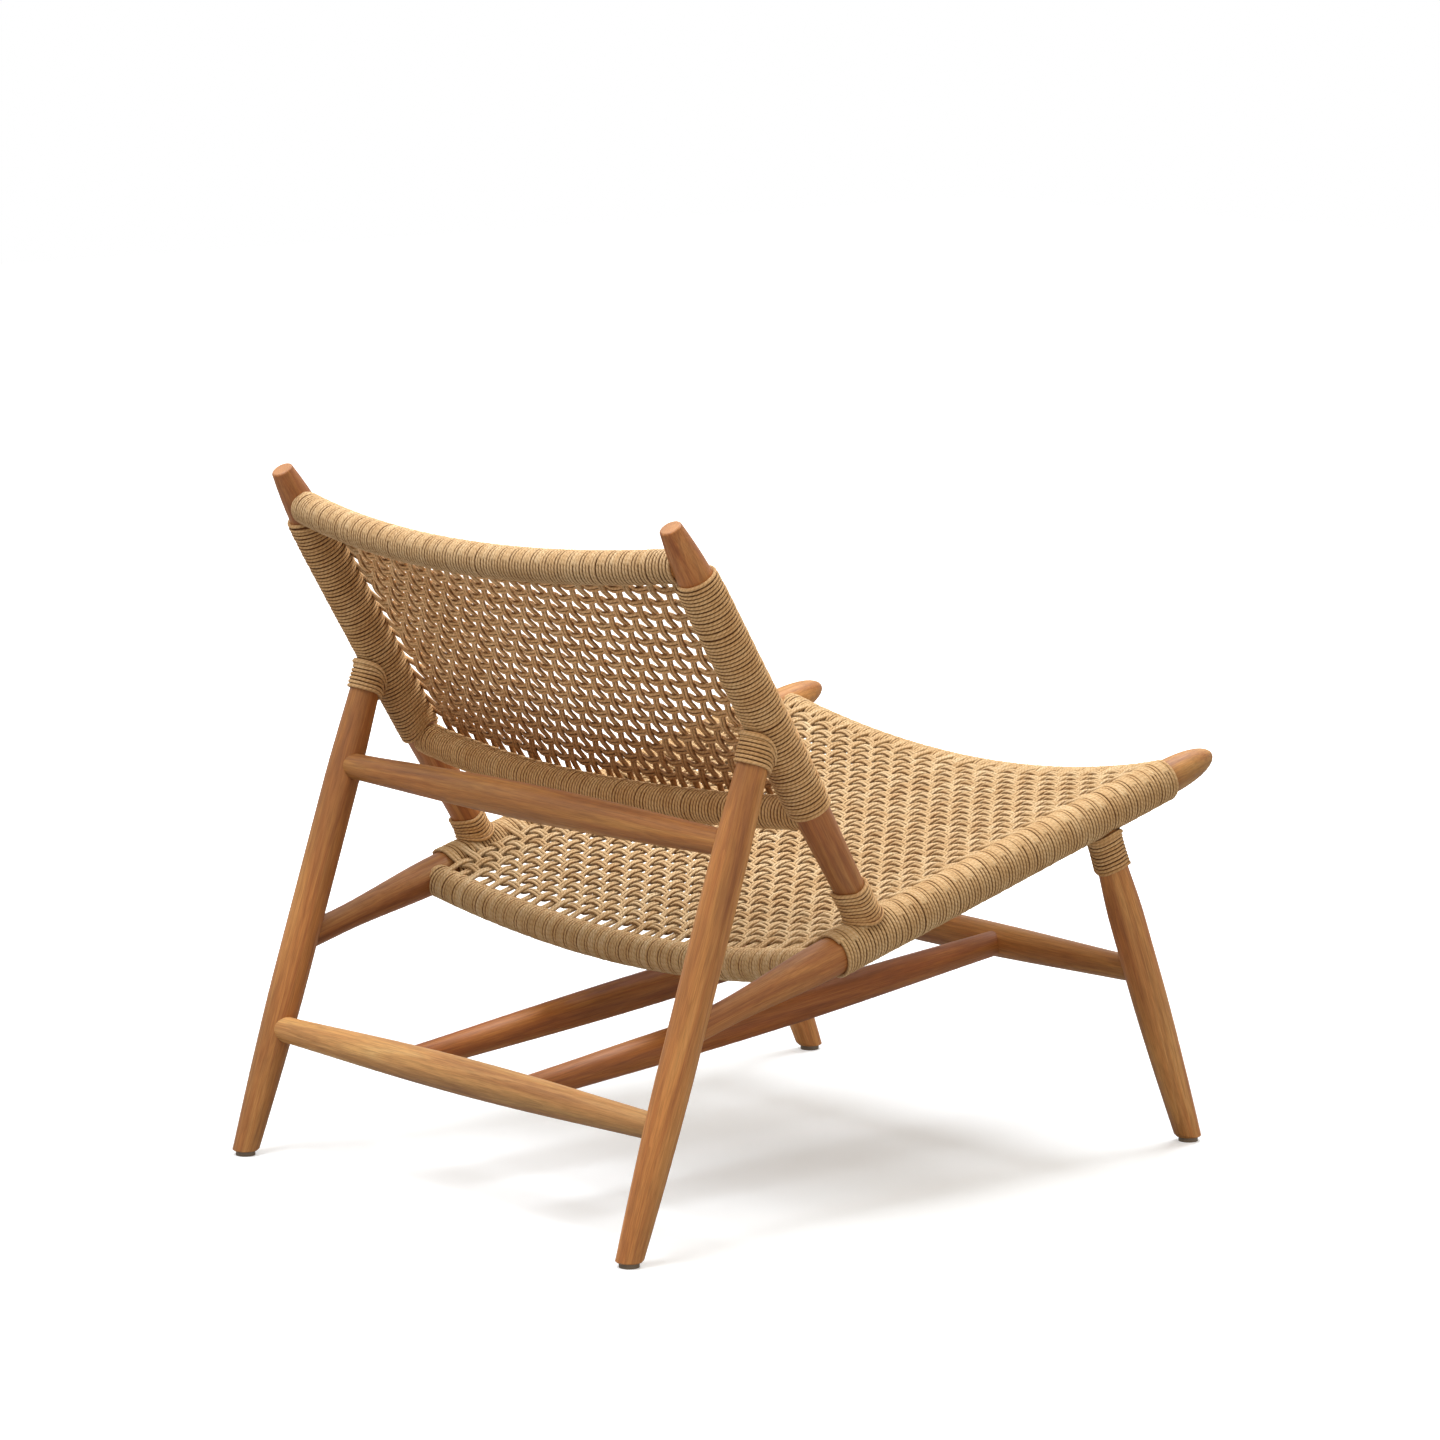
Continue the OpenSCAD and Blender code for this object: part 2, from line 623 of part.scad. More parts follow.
module seat_warps() color(CORD) for (u = seat_warp_u) {
    a = rail_mid(rear_rail_at) + [seat_x(rear_rail_at, u), 0, 0] + seat_rear_h(u)*seat_up;
    b = rail_mid(front_rail_at) + [seat_x(front_rail_at, u), 0, 0] + seat_front_h(u)*seat_up;
    warp(a, b, seat_tilt(u), seat_rise(u));
}

module back_warps() color(CORD) for (u = back_warp_u) {
    a = post_mid(top_rail_at) + [u*back_x, 0, 0] + back_top_h(u)*back_up;
    b = post_mid(bottom_rail_at) + [u*back_x, 0, 0] + back_bottom_h(u)*back_up;
    warp(a, b, back_tilt(u), back_rise(u));
}

module seat_wefts() color(CORD) for (j = [0:seat_rows - 1]) {
    s = rear_rail_at + row_inset + (seat_l - 2*row_inset)*j/(seat_rows - 1);
    across_seat(s) weft([for (u = seat_warp_u) seat_x(s, u)], [for (u = seat_warp_u) seat_h(s, u)],
                        [for (u = seat_warp_u) seat_tilt(u)], [for (u = seat_warp_u) seat_slope_at(s, u)],
                        j, half(s), rail_r(s) + cord_d);
}

module back_wefts() color(CORD) for (j = [0:back_rows - 1]) {
    t = bottom_rail_at + row_inset + (back_l - 2*row_inset)*j/(back_rows - 1);
    across_back(t) weft([for (u = back_warp_u) u*back_x], [for (u = back_warp_u) back_h(t, u)],
                        [for (u = back_warp_u) back_tilt(u)], [for (u = back_warp_u) back_slope_at(t, u)],
                        j, post_x, post_r(t) + cord_d);
}

rear_leg_left();
rear_leg_right();
front_leg_left();
front_leg_right();
back_post_left();
back_post_right();
side_rail_left();
side_rail_right();
seat_rear_rail();
seat_front_rail();
back_bottom_rail();
back_top_rail();
rear_stretcher_upper();
rear_stretcher_lower();
front_stretcher();
long_stretcher_left();
long_stretcher_right();
glide_rear_left();
glide_rear_right();
glide_front_left();
glide_front_right();
side_rail_wrap_left();
side_rail_wrap_right();
back_post_wrap_left();
back_post_wrap_right();
seat_rear_wrap();
seat_front_wrap();
back_bottom_wrap();
back_top_wrap();
rear_leg_collar_left();
rear_leg_collar_right();
post_foot_collar_left();
post_foot_collar_right();
front_leg_collar_left();
front_leg_collar_right();
seat_warps();
seat_wefts();
back_warps();
back_wefts();
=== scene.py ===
"""Looks of the woven lounge armchair: turned teak frame, paper cord wraps, collars and weave.

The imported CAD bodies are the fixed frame. The wooden pieces and the glides are the CAD meshes
with materials; every cord is modelled here as a real round cord that follows the same layout.
The layout and the cords are in millimetres; materials, lights and the camera are in metres.
"""
import math

import bpy
import numpy as np
from mathutils import Matrix, Vector


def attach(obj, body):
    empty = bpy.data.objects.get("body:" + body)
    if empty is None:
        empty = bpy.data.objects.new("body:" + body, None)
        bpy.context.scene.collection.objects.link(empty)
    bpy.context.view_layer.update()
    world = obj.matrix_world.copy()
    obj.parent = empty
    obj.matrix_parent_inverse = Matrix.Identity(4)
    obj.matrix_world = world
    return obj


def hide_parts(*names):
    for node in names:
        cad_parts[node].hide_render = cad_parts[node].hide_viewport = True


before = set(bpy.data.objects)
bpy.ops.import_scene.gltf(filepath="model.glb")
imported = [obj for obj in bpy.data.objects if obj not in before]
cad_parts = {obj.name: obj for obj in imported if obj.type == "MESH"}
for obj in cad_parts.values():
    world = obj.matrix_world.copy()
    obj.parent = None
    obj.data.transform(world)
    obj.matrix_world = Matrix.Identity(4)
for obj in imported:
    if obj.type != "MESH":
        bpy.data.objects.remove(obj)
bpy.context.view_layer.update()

# ---------------------------------------------------------------- layout, in millimetres
MM = 0.001                      # a millimetre in metres
TURN = 2 * math.pi
X = np.array([1.0, 0.0, 0.0])

SEAT_Z = 213.0                  # height of the side rails' rear ends
SLOPE = math.radians(14.8)      # rise of the seat towards the front
RAIL_L = 737.0                  # length of a side rail
RAIL_R = 19.3                   # its radius in the middle, at the rear end and before the tip
RAIL_REAR_R = 13.2
RAIL_FRONT_R = 18.5
RAIL_TIP_L = 87.0               # length of its domed front end
SPAN_REAR = 599.0               # distance between the side rails' axes, behind and in front
SPAN_FRONT = 590.0

RECLINE = math.radians(31.6)    # lean of the back posts
POST_AT = 250.0                 # place of the post's foot along the side rail
POST_L = 494.5                  # length of a post
POST_R = 18.8                   # its radius in the middle, at the foot and at the top
POST_FOOT_R = 15.0
POST_TOP_R = 11.0
HEAD_AT = 268.8                 # place of the rear leg's head along the post

REAR_LEG_R = 18.0
FRONT_LEG_R = 18.2
FOOT_R = 13.0                   # radius of a leg's foot and of its head
HEAD_R = 14.7
FRONT_LEG_AT = 569.0            # place of the front leg's head along the side rail
FRONT_RAKE = math.radians(22.0)
FRONT_FEET = 579.0              # distance between the front feet

CROSS_R = 13.0                  # radius of the four bent cross rails
REAR_RAIL_AT = 175.5            # places of the seat's two along the side rails
FRONT_RAIL_AT = 679.5
REAR_DIP = 31.5                 # how far their middles dip
FRONT_DIP = 40.0
BOTTOM_RAIL_AT = 152.0          # places of the back's two along the posts
TOP_RAIL_AT = 450.0
POST_TAPER_AT = TOP_RAIL_AT - 50.0
BOTTOM_BOW = 27.5               # how far their middles bow to the rear
TOP_BOW = 37.5

CORD_R = 1.95
PITCH = 4.05                    # spacing of neighbouring turns of a wrap
SEAT_EDGE = 28.0                # from the outermost warps to the axes of the rails or posts beside them
BACK_EDGE = 44.0
ROW_INSET = CROSS_R + 9.0       # from the first and last wefts to the axes of the cross rails
RAIL_WRAP = (REAR_RAIL_AT + 19.5, FRONT_RAIL_AT - 13.6)     # places of the two ends of a wrap
POST_WRAP = (BOTTOM_RAIL_AT + 4.0, TOP_RAIL_AT - 12.5)
FOOT_ROOM = 20.5                # half the length of rail wrap that a post's foot takes up
PAIR_GAP = 2.05                 # spacing of the two cords of a pair, in radii
REST = 0.25                     # how far a woven cord stays off a wrap that it lies on
TUCK = 2.3 * CORD_R             # how deep the end of a wrap sinks into the wood
TUCK_TURN = 2.0                 # the angle that it takes to get there

rng = np.random.default_rng(7)


def unit(v):
    return v / np.linalg.norm(v, axis=-1, keepdims=True)


def smooth(x):
    x = np.clip(x, 0.0, 1.0)
    return x * x * (3 - 2 * x)


def half(s):
    """Half the distance between the side rails' axes at the place s along them."""
    return SPAN_REAR / 2 - (SPAN_REAR - SPAN_FRONT) / 2 * s / RAIL_L


RAIL_DIR = np.array([0.0, -math.cos(SLOPE), math.sin(SLOPE)])
SEAT_UP = np.array([0.0, math.sin(SLOPE), math.cos(SLOPE)])
POST_DIR = np.array([0.0, math.sin(RECLINE), math.cos(RECLINE)])
BACK_UP = np.array([0.0, -math.cos(RECLINE), math.sin(RECLINE)])

HEAD_RISE = POST_AT * math.sin(SLOPE) + HEAD_AT * math.cos(RECLINE)
HEAD_RUN = POST_AT * math.cos(SLOPE) - HEAD_AT * math.sin(RECLINE)
JOINT_Y = (RAIL_L * math.cos(SLOPE) - SEAT_Z * HEAD_RUN / HEAD_RISE - FOOT_R) / 2
POST_X = half(POST_AT)


def rail_mid(s):
    """Point midway between the side rails."""
    return np.array([0.0, JOINT_Y, SEAT_Z]) + s * RAIL_DIR


def post_mid(t):
    """Point midway between the posts."""
    return rail_mid(POST_AT) + t * POST_DIR


def at_height(a, b, z):
    """Point at the height z on the line through a and b."""
    return a + (b - a) * (z - a[2]) / (b[2] - a[2])


RAIL_REAR = rail_mid(0) + half(0) * X
RAIL_FRONT = rail_mid(RAIL_L) + half(RAIL_L) * X
REAR_HEAD = post_mid(HEAD_AT) + POST_X * X
REAR_FOOT = at_height(REAR_HEAD, RAIL_REAR, 0.0)
FRONT_HEAD = rail_mid(FRONT_LEG_AT) + half(FRONT_LEG_AT) * X
FRONT_FOOT = np.array([FRONT_FEET / 2, FRONT_HEAD[1] - FRONT_HEAD[2] * math.tan(FRONT_RAKE), 0.0])
REAR_LEG_L = np.linalg.norm(REAR_HEAD - REAR_FOOT)
FRONT_LEG_L = np.linalg.norm(FRONT_HEAD - FRONT_FOOT)


def rail_r(s):
    """Radius of a side rail, with its slimmer rear end and its domed tip."""
    rear_fade = 140.0
    front_fade = 250.0
    past = s - RAIL_L + RAIL_TIP_L
    tip = RAIL_FRONT_R * np.sqrt(1 - np.clip(past / RAIL_TIP_L, 0, 1) ** 3)
    rear = smooth((REAR_RAIL_AT + 14.5 - s) / rear_fade)
    front = smooth((past + front_fade) / front_fade)
    body = RAIL_R - (RAIL_R - RAIL_REAR_R) * rear - (RAIL_R - RAIL_FRONT_R) * front
    return np.where(past > 0, tip, body)


def post_r(t):
    """Radius of a post, with its slimmer foot and its tapered top."""
    foot_end = 200.0
    foot_fade = 176.0
    past = np.clip(t - POST_TAPER_AT, 0, None) / (POST_L - POST_TAPER_AT)
    top = POST_R - (POST_R - POST_TOP_R) * past ** 2
    body = POST_R - (POST_R - POST_FOOT_R) * smooth((foot_end - t) / foot_fade)
    return np.where(t > POST_TAPER_AT, top, body)


def leg_r(mid_r, t, length, start, end):
    """Radius of a leg whose head narrows between the distances start and end from its upper end."""
    foot_length = 180.0
    foot = np.clip(1 - np.clip(t, 0, None) / foot_length, 0, None) ** 1.5
    head = smooth((t - length + start) / (start - end))
    return mid_r - (mid_r - FOOT_R) * foot - (mid_r - HEAD_R) * head


def rear_leg_r(t):
    return leg_r(REAR_LEG_R, t, REAR_LEG_L, 150.0, 5.0)


def front_leg_r(t):
    return leg_r(FRONT_LEG_R, t, FRONT_LEG_L, 125.0, 35.0)


# ---------------------------------------------------------------- cords as meshes
SIDES = 8                       # faces round a cord
BARE = 0.35                     # how much of the painted shade is on a cord's sides where nothing touches them
END_SHADE_FADE = 60.0                # how far that lighter painted shade goes on from its ends; it takes as far again to be full


class Cords:
    """Collects round cords, with their length and the angle round them as UVs, into one mesh."""

    def __init__(self):
        self.verts = []
        self.quads = []
        self.quad_uvs = []
        self.caps = []
        self.cap_uvs = []
        self.tones = []
        self.covered = []
        self.count = 0

    def add(self, path, ref, radius=CORD_R, ring=False, bare=False):
        """A cord along path, closed by caps, or joined to a ring where its last point is its first.

        The vectors in ref point roughly outwards from what the cord lies on, at each point. The sides of a
        cord are darkened with painted shade where its neighbours touch it, but not at its two ends and not
        where it is bare."""
        p = np.asarray(path, float)
        ref = np.broadcast_to(ref, p.shape)
        length = np.concatenate([[0], np.cumsum(np.linalg.norm(np.diff(p, axis=0), axis=1))])
        if ring:
            p = p[:-1]
            ref = ref[:-1]
            tangent = unit(np.roll(p, -1, 0) - np.roll(p, 1, 0))
            covered = np.full(len(p), BARE if bare else 1.0)
        else:
            tangent = unit(np.gradient(p, axis=0))
            from_end = np.minimum(length, length[-1] - length)
            covered = BARE + (1 - BARE) * smooth(from_end / END_SHADE_FADE - 1)
        self.add_skin(p, tangent, ref, radius, length)
        tips = 0 if ring else 2
        if tips:
            self.add_caps(p, tangent, radius, length)
        size = len(p) * SIDES + tips
        self.tones.append(np.full(size, rng.random()))
        self.covered.append(np.append(np.repeat(covered, SIDES), np.full(tips, BARE)))
        self.count += size

    def add_skin(self, p, tangent, ref, radius, length):
        """The faces round a cord. A ring has one value more in length than it has points."""
        normal = unit(ref - (ref * tangent).sum(1, keepdims=True) * tangent)
        across = np.cross(tangent, normal)
        a = np.arange(SIDES)[None, :, None] * TURN / SIDES
        rings = p[:, None] + radius * (np.cos(a) * normal[:, None] + np.sin(a) * across[:, None])
        self.verts.append(rings.reshape(-1, 3))

        i = np.arange(len(length) - 1)[:, None]
        k = np.arange(SIDES)[None]
        here = i * SIDES
        after = (i + 1) % len(p) * SIDES
        beside = (k + 1) % SIDES
        quads = np.stack([here + k, here + beside, after + beside, after + k], -1)
        self.quads.append(quads.reshape(-1, 4) + self.count)

        u0, u1, v0 = np.broadcast_arrays(length[:-1, None], length[1:, None], k / SIDES)
        v1 = v0 + 1 / SIDES
        self.quad_uvs.append(np.stack([u0, v0, u0, v1, u1, v1, u1, v0], -1).reshape(-1, 2))

    def add_caps(self, p, tangent, radius, length):
        """A blunt tip at each end of the cord that has just got its skin."""
        blunt = 0.4 * radius
        self.verts.append(np.stack([p[0] - tangent[0] * blunt, p[-1] + tangent[-1] * blunt]))
        k = np.arange(SIDES)
        beside = (k + 1) % SIDES
        tip = np.full(SIDES, len(p) * SIDES)
        last = (len(p) - 1) * SIDES
        first_cap = np.stack([tip, beside, k], -1)
        last_cap = np.stack([tip + 1, last + k, last + beside], -1)
        self.caps.append(np.concatenate([first_cap, last_cap]) + self.count)
        self.cap_uvs.append(np.repeat([[length[0], 0.5], [length[-1], 0.5]], 3 * SIDES, axis=0))

    def build(self, name, material, node):
        """Makes the piece that stands for the CAD node."""
        obj = bpy.data.objects.new(name, self.mesh(name))
        bpy.context.scene.collection.objects.link(obj)
        obj.data.materials.append(material)
        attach(obj, "root")
        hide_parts(node)

    def mesh(self, name):
        verts = np.concatenate(self.verts) * MM
        quads = np.concatenate(self.quads)
        caps = np.concatenate(self.caps or [np.zeros((0, 3), int)])
        uv = np.concatenate(self.quad_uvs + self.cap_uvs) * [MM, 1]
        loops = np.concatenate([quads.ravel(), caps.ravel()])
        starts = np.concatenate([np.arange(len(quads)) * 4, len(quads) * 4 + np.arange(len(caps)) * 3])
        mesh = bpy.data.meshes.new(name)
        mesh.vertices.add(len(verts))
        mesh.vertices.foreach_set("co", verts.astype(np.float32).ravel())
        mesh.loops.add(len(loops))
        mesh.loops.foreach_set("vertex_index", loops.astype(np.int32))
        mesh.polygons.add(len(starts))
        mesh.polygons.foreach_set("loop_start", starts.astype(np.int32))
        mesh.polygons.foreach_set("use_smooth", np.ones(len(starts), bool))
        mesh.uv_layers.new(name="cord").data.foreach_set("uv", uv.astype(np.float32).ravel())
        for label, values in (("tone", self.tones), ("covered", self.covered)):
            attribute = mesh.attributes.new(label, "FLOAT", "POINT")
            attribute.data.foreach_set("value", np.concatenate(values).astype(np.float32))
        mesh.update()
        mesh.validate()
        return mesh


def mirrored(p, side):
    """The points of the left side as they are, or mirrored where side is -1."""
    q = np.array(p, float)
    q[..., 0] *= side
    return q


class Rod:
    """A straight turned piece of the left side: axis, radius, and a frame whose zero angle is +X."""

    def __init__(self, start, direction, length, radius):
        self.start = start
        self.d = unit(direction)
        self.length = length
        self.radius = radius
        self.e1 = unit(X - (X @ self.d) * self.d)
        self.e2 = np.cross(self.d, self.e1)

    def out(self, phi):
        """Unit vectors away from the axis at the angles phi."""
        return np.cos(phi)[..., None] * self.e1 + np.sin(phi)[..., None] * self.e2

    def point(self, t, phi, lift):
        """Points t along the rod, at the angles phi, lifted off its surface."""
        t = np.asarray(t, float)
        return self.start + t[..., None] * self.d + (self.radius(t) + lift)[..., None] * self.out(phi)

    def angle_of(self, direction):
        """Angle round the rod at which the direction points away from its axis."""
        return math.atan2(direction @ self.e2, direction @ self.e1)


RAIL = Rod(RAIL_REAR, RAIL_FRONT - RAIL_REAR, RAIL_L, rail_r)
POST = Rod(post_mid(0) + POST_X * X, POST_DIR, POST_L, post_r)
REAR_LEG = Rod(REAR_FOOT, REAR_HEAD - REAR_FOOT, REAR_LEG_L, rear_leg_r)
FRONT_LEG = Rod(FRONT_FOOT, FRONT_HEAD - FRONT_FOOT, FRONT_LEG_L, front_leg_r)


def wander(n, size, every, ring=False):
    """Random wander of a cord along its n points, with a new direction about every so many points."""
    count = max(4, int(n / every) + 2)
    x = np.linspace(0, count - 1, n)
    k = np.minimum(x.astype(int), count - 2)
    values = rng.normal(size=count) * size
    if ring:
        values[-1] = values[0]
    f = (1 - np.cos(math.pi * (x - k))) / 2
    return values[k] * (1 - f) + values[k + 1] * f


def wrap_lift(n):
    """Uneven height of a wrap's n points over the wood."""
    return CORD_R + wander(n, 0.14, 9)


def wrap_shift(n):
    """Uneven spacing of a wrap's turns, for its n points."""
    return wander(n, 0.22, 9) + wander(n, 0.04, 60)


def joint(rod, direction, place, radius):
    """The hole in a rod's wrap for a piece that leaves the rod's axis at the place, in the direction.

    Returns its place along the rod on the radius of the wrap, its angle, half its length and width,
    and that radius."""
    wide = 8.0
    along = direction @ rod.d
    outward = math.sqrt(1 - along ** 2)
    return place + radius * along / outward, rod.angle_of(direction), wide / outward, wide, radius


def parted(t, phi, joints):
    """Shifts the turns of a wrap aside where another piece comes through it.

    Each hole is oval in the unrolled wrap, with the turns beside it crowded together."""
    for place, angle, long, wide, radius in joints:
        off = ((phi - angle + math.pi) % TURN - math.pi) * radius / wide
        near = long * (0.92 * np.sqrt(np.clip(1 - off ** 2, 0, 1)) + 0.08 * np.exp(-off ** 2))
        d = t - place
        t = t + np.sign(d) * near * np.exp(-np.abs(d) / (1.3 * long))
    return t


def leaned(t, phi, tilts):
    """Leans the turns of a wrap near each tilt's place, by its shift on the side at its angle."""
    for place, angle, shift, fade in tilts:
        t = t + shift * np.exp(-np.abs(t - place) / fade) * ((1 + np.cos(phi - angle)) / 2) ** 6
    return t


def helix(rod, start, end, hide, side, cords, joints=(), tilts=()):
    """Cord wound close round a rod from start to end, with both its ends tucked in at the angle hide."""
    steps = 30
    full = (end - start) / PITCH * TURN
    first = (hide - math.pi / 2) % TURN
    last = full - (math.pi / 2 + full - hide) % TURN
    n = int((last - first) / TURN * steps)
    turned = np.linspace(first, last, n)
    phi = math.pi / 2 + turned
    t = start + turned / TURN * PITCH + wrap_shift(n)
    t = parted(leaned(t, phi, tilts), phi, joints)
    from_end = np.minimum(turned - first, last - turned)
    lift = wrap_lift(n) - TUCK * (1 - smooth(from_end / TUCK_TURN))
    cords.add(mirrored(rod.point(t, phi, lift), side), mirrored(rod.out(phi), side))


# ---------------------------------------------------------------- the two woven panels
WEAVE_STEPS = 6                 # points along a woven cord from one crossing to the next
END_BLEND = 40.0                # how far from a cross rail a warp swings over to its turn of the wrap


class Panel:
    """A woven panel between two bent cross rails. x runs across, y up from the weave and z along.

    Of each pair, the first value is for the cross rail with the lower z."""

    def __init__(self, name, origin, up, along, ends, bows, crown, side_half, side_r, side_start, edge,
                 warp_pitch, weft_pitch, warp_wave, weft_wave, cord_r, foot_at=None):
        self.name = name
        self.origin = origin
        self.up = up
        self.along = along
        self.ends = ends
        self.bows = bows
        self.crown = crown
        self.side_half = side_half
        self.side_r = side_r
        self.side_start = side_start
        self.edge = edge
        self.warp_wave = warp_wave
        self.weft_wave = weft_wave
        self.cord_r = cord_r
        self.foot_at = foot_at
        halves = [side_half(z) for z in ends]
        self.radius = [(c * c + b * b) / (2 * b) for c, b in zip(halves, bows)]
        self.warps = round(2 * (min(halves) - edge) / warp_pitch) + 1
        length = ends[1] - ends[0] - 2 * ROW_INSET
        self.rows = round(length / weft_pitch) + 1
        self.row_z = ends[0] + ROW_INSET + length * np.arange(self.rows) / (self.rows - 1)

    def place(self, x, y, z):
        x, y, z = np.broadcast_arrays(np.asarray(x, float), y, z)
        return self.origin + x[..., None] * X + y[..., None] * self.up + z[..., None] * self.along

    def across(self, k, u):
        """x at cross rail k of the place u across the weave, -1 and 1 at its outermost warps."""
        return u * (self.side_half(self.ends[k]) - self.edge)

    def height(self, k, x):
        """y on top of the wrap of cross rail k."""
        r = self.radius[k]
        return r - self.bows[k] - np.sqrt((r - CROSS_R - CORD_R) ** 2 - x ** 2)

    def surface(self, u, z):
        """x, y and slope of the weave's middle surface, arched up where the tight wefts lift it."""
        k = np.clip((z - self.ends[0]) / (self.ends[1] - self.ends[0]), 0, 1)
        x0 = self.across(0, u)
        x1 = self.across(1, u)
        x = (1 - k) * x0 + k * x1
        wide = (1 - k) * self.side_half(self.ends[0]) + k * self.side_half(self.ends[1])
        arch = self.crown * 4 * k * (1 - k)
        y = (1 - k) * self.height(0, x0) + k * self.height(1, x1) + arch * (1 - (x / wide) ** 2)
        bent = x / ((1 - k) * self.radius[0] + k * self.radius[1] - CROSS_R)
        slope = np.arctan(bent / np.sqrt(1 - bent ** 2) - 2 * arch * x / wide ** 2)
        return x, y, slope

    def normal(self, slope):
        return -np.sin(slope)[:, None] * X + np.cos(slope)[:, None] * self.up

    def rail_path(self, k, arc, phi, lift):
        """Point on the wrap of cross rail k, arc along its axis and phi round it.

        The weave's side is at 90 degrees."""
        r = self.radius[k]
        a = arc / r
        q = (CROSS_R + lift) * np.sin(phi)
        x = r * np.sin(a) - q * np.sin(a)
        y = r - self.bows[k] - r * np.cos(a) + q * np.cos(a)
        return self.place(x, y, self.ends[k] + (CROSS_R + lift) * np.cos(phi))

    def rail_out(self, k, arc, phi):
        """Directions away from the axis of cross rail k at the same points."""
        a = arc / self.radius[k]
        radial = -np.sin(a)[..., None] * X + np.cos(a)[..., None] * self.up
        return np.sin(phi)[..., None] * radial + np.cos(phi)[..., None] * self.along

    def wrap_cross_rail(self, k, inset, cords):
        """The wrap of cross rail k, which ends by inset short of the side pieces' axes."""
        steps = 26
        reach = self.side_half(self.ends[k]) - inset
        end = self.radius[k] * math.asin(reach / self.radius[k])
        n = int(2 * end / PITCH) * steps
        arc = np.linspace(-end, end, n)
        phi = math.pi / 2 + TURN * (arc / PITCH - 0.5)
        lift = wrap_lift(n)
        arc = arc + wrap_shift(n)
        cords.add(self.rail_path(k, arc, phi, lift), self.rail_out(k, arc, phi))

    def nearest_turn(self, k, u, m):
        """Arc along rail k at the turn of its wrap that the cord m of the warp at u lies beside."""
        arc = self.radius[k] * math.asin(self.across(k, u) / self.radius[k])
        return (round(arc / PITCH - 1) + m + 1) * PITCH

    def hook(self, k, arc, start, end):
        """Path and outward directions of a warp's turn round rail k, between two angles in degrees."""
        phi = np.radians(np.linspace(start, end, 9))
        arc = np.full(len(phi), arc)
        return self.rail_path(k, arc, phi, CORD_R + REST), self.rail_out(k, arc, phi)

    def warp_z(self):
        """Places along a warp, from cross rail to cross rail."""
        first = self.row_z[0]
        last = self.row_z[-1]
        return np.concatenate([np.linspace(self.ends[0], first, 8)[:-1],
                               np.linspace(first, last, WEAVE_STEPS * (self.rows - 1) + 1),
                               np.linspace(last, self.ends[1], 8)[1:]])

    def warp(self, i, cords):
        """One doubled warp, which waves over and under the wefts and hooks round both cross rails."""
        u = 2 * i / (self.warps - 1) - 1
        z = self.warp_z()
        z0, z1 = self.ends
        inside = np.clip(z, self.row_z[0], self.row_z[-1]) - self.row_z[0]
        wave = np.cos(math.pi * (inside / (self.row_z[1] - self.row_z[0]) + i))
        wave = self.warp_wave * wave * smooth((z - z0) / ROW_INSET) * smooth((z1 - z) / ROW_INSET)
        near0 = smooth(1 - (z - z0) / END_BLEND)
        near1 = smooth(1 - (z1 - z) / END_BLEND)
        for m in (-0.5, 0.5):
            x, y, slope = self.surface(u, z)
            lift = wave + wander(len(z), 0.10, 7)
            across = m * PAIR_GAP * self.cord_r + wander(len(z), 0.16, 8)
            arcs = [self.nearest_turn(k, u, m) for k in (0, 1)]
            x_end = [self.radius[k] * math.sin(arcs[k] / self.radius[k]) for k in (0, 1)]
            x = x + across * np.cos(slope)
            x = x + near0 * (x_end[0] - x[0]) + near1 * (x_end[1] - x[-1])
            y = y + across * np.sin(slope) * (1 - near0) * (1 - near1)
            flat = self.place(x - lift * np.sin(slope), y + lift * np.cos(slope), z)
            first, first_out = self.hook(0, arcs[0], 225, 95)
            last, last_out = self.hook(1, arcs[1], 85, -45)
            path = np.concatenate([first, flat[1:-1], last])
            cords.add(path, np.concatenate([first_out, self.normal(slope)[1:-1], last_out]), self.cord_r)

    def weft(self, j, cords):
        """One doubled weft, drawn tight to the wraps of the side pieces."""
        z = self.row_z[j]
        c = self.side_half(z)
        q = np.linspace(0, self.warps - 1, WEAVE_STEPS * (self.warps - 1) + 1)
        u = 2 * q / (self.warps - 1) - 1
        for m in (-0.5, 0.5):
            across = z + m * PAIR_GAP * self.cord_r
            x, y, slope = self.surface(u, np.full(len(u), across))
            lift = -self.weft_wave * np.cos(math.pi * (q + j)) + wander(len(q), 0.10, 7)
            px = x - lift * np.sin(slope)
            py = y + lift * np.cos(slope)
            ex, ey = self.side_end(z, px[-1], py[-1])
            sx, sy = self.side_end(z, -px[0], py[0])
            xs = np.concatenate([-sx[::-1], px, ex])
            ys = np.concatenate([sy[::-1], py, ey])
            zs = self.weft_z(across, len(xs), len(ex))
            normal = np.concatenate([self.side_normal(-c, -sx[::-1], sy[::-1]), self.normal(slope),
                                     self.side_normal(c, ex, ey)])
            cords.add(self.place(xs, ys, zs), normal, self.cord_r)

    def weft_z(self, across, count, n):
        """z along a weft: on a turn of the side wraps for n points at each end, blended in between."""
        zs = np.full(count, across) + wander(count, 0.16, 8)
        turn = self.side_turn(across)
        steps = 12
        blend = smooth(np.arange(1, steps + 1) / (steps + 1))
        zs[:n] = turn
        zs[-n:] = turn
        zs[n:n + steps] = turn * (1 - blend) + zs[n:n + steps] * blend
        zs[-n - steps:-n] = zs[-n - steps:-n] * blend[::-1] + turn * (1 - blend[::-1])
        return zs

    def side_normal(self, c, x, y):
        """Directions away from the axis of the side piece at x = c."""
        return unit((x - c)[:, None] * X + y[:, None] * self.up)

    def side_turn(self, z):
        """z of the turn of the side wraps nearest to z."""
        lead = 0.3
        return self.side_start + (round((z - self.side_start) / PITCH - lead) + lead) * PITCH

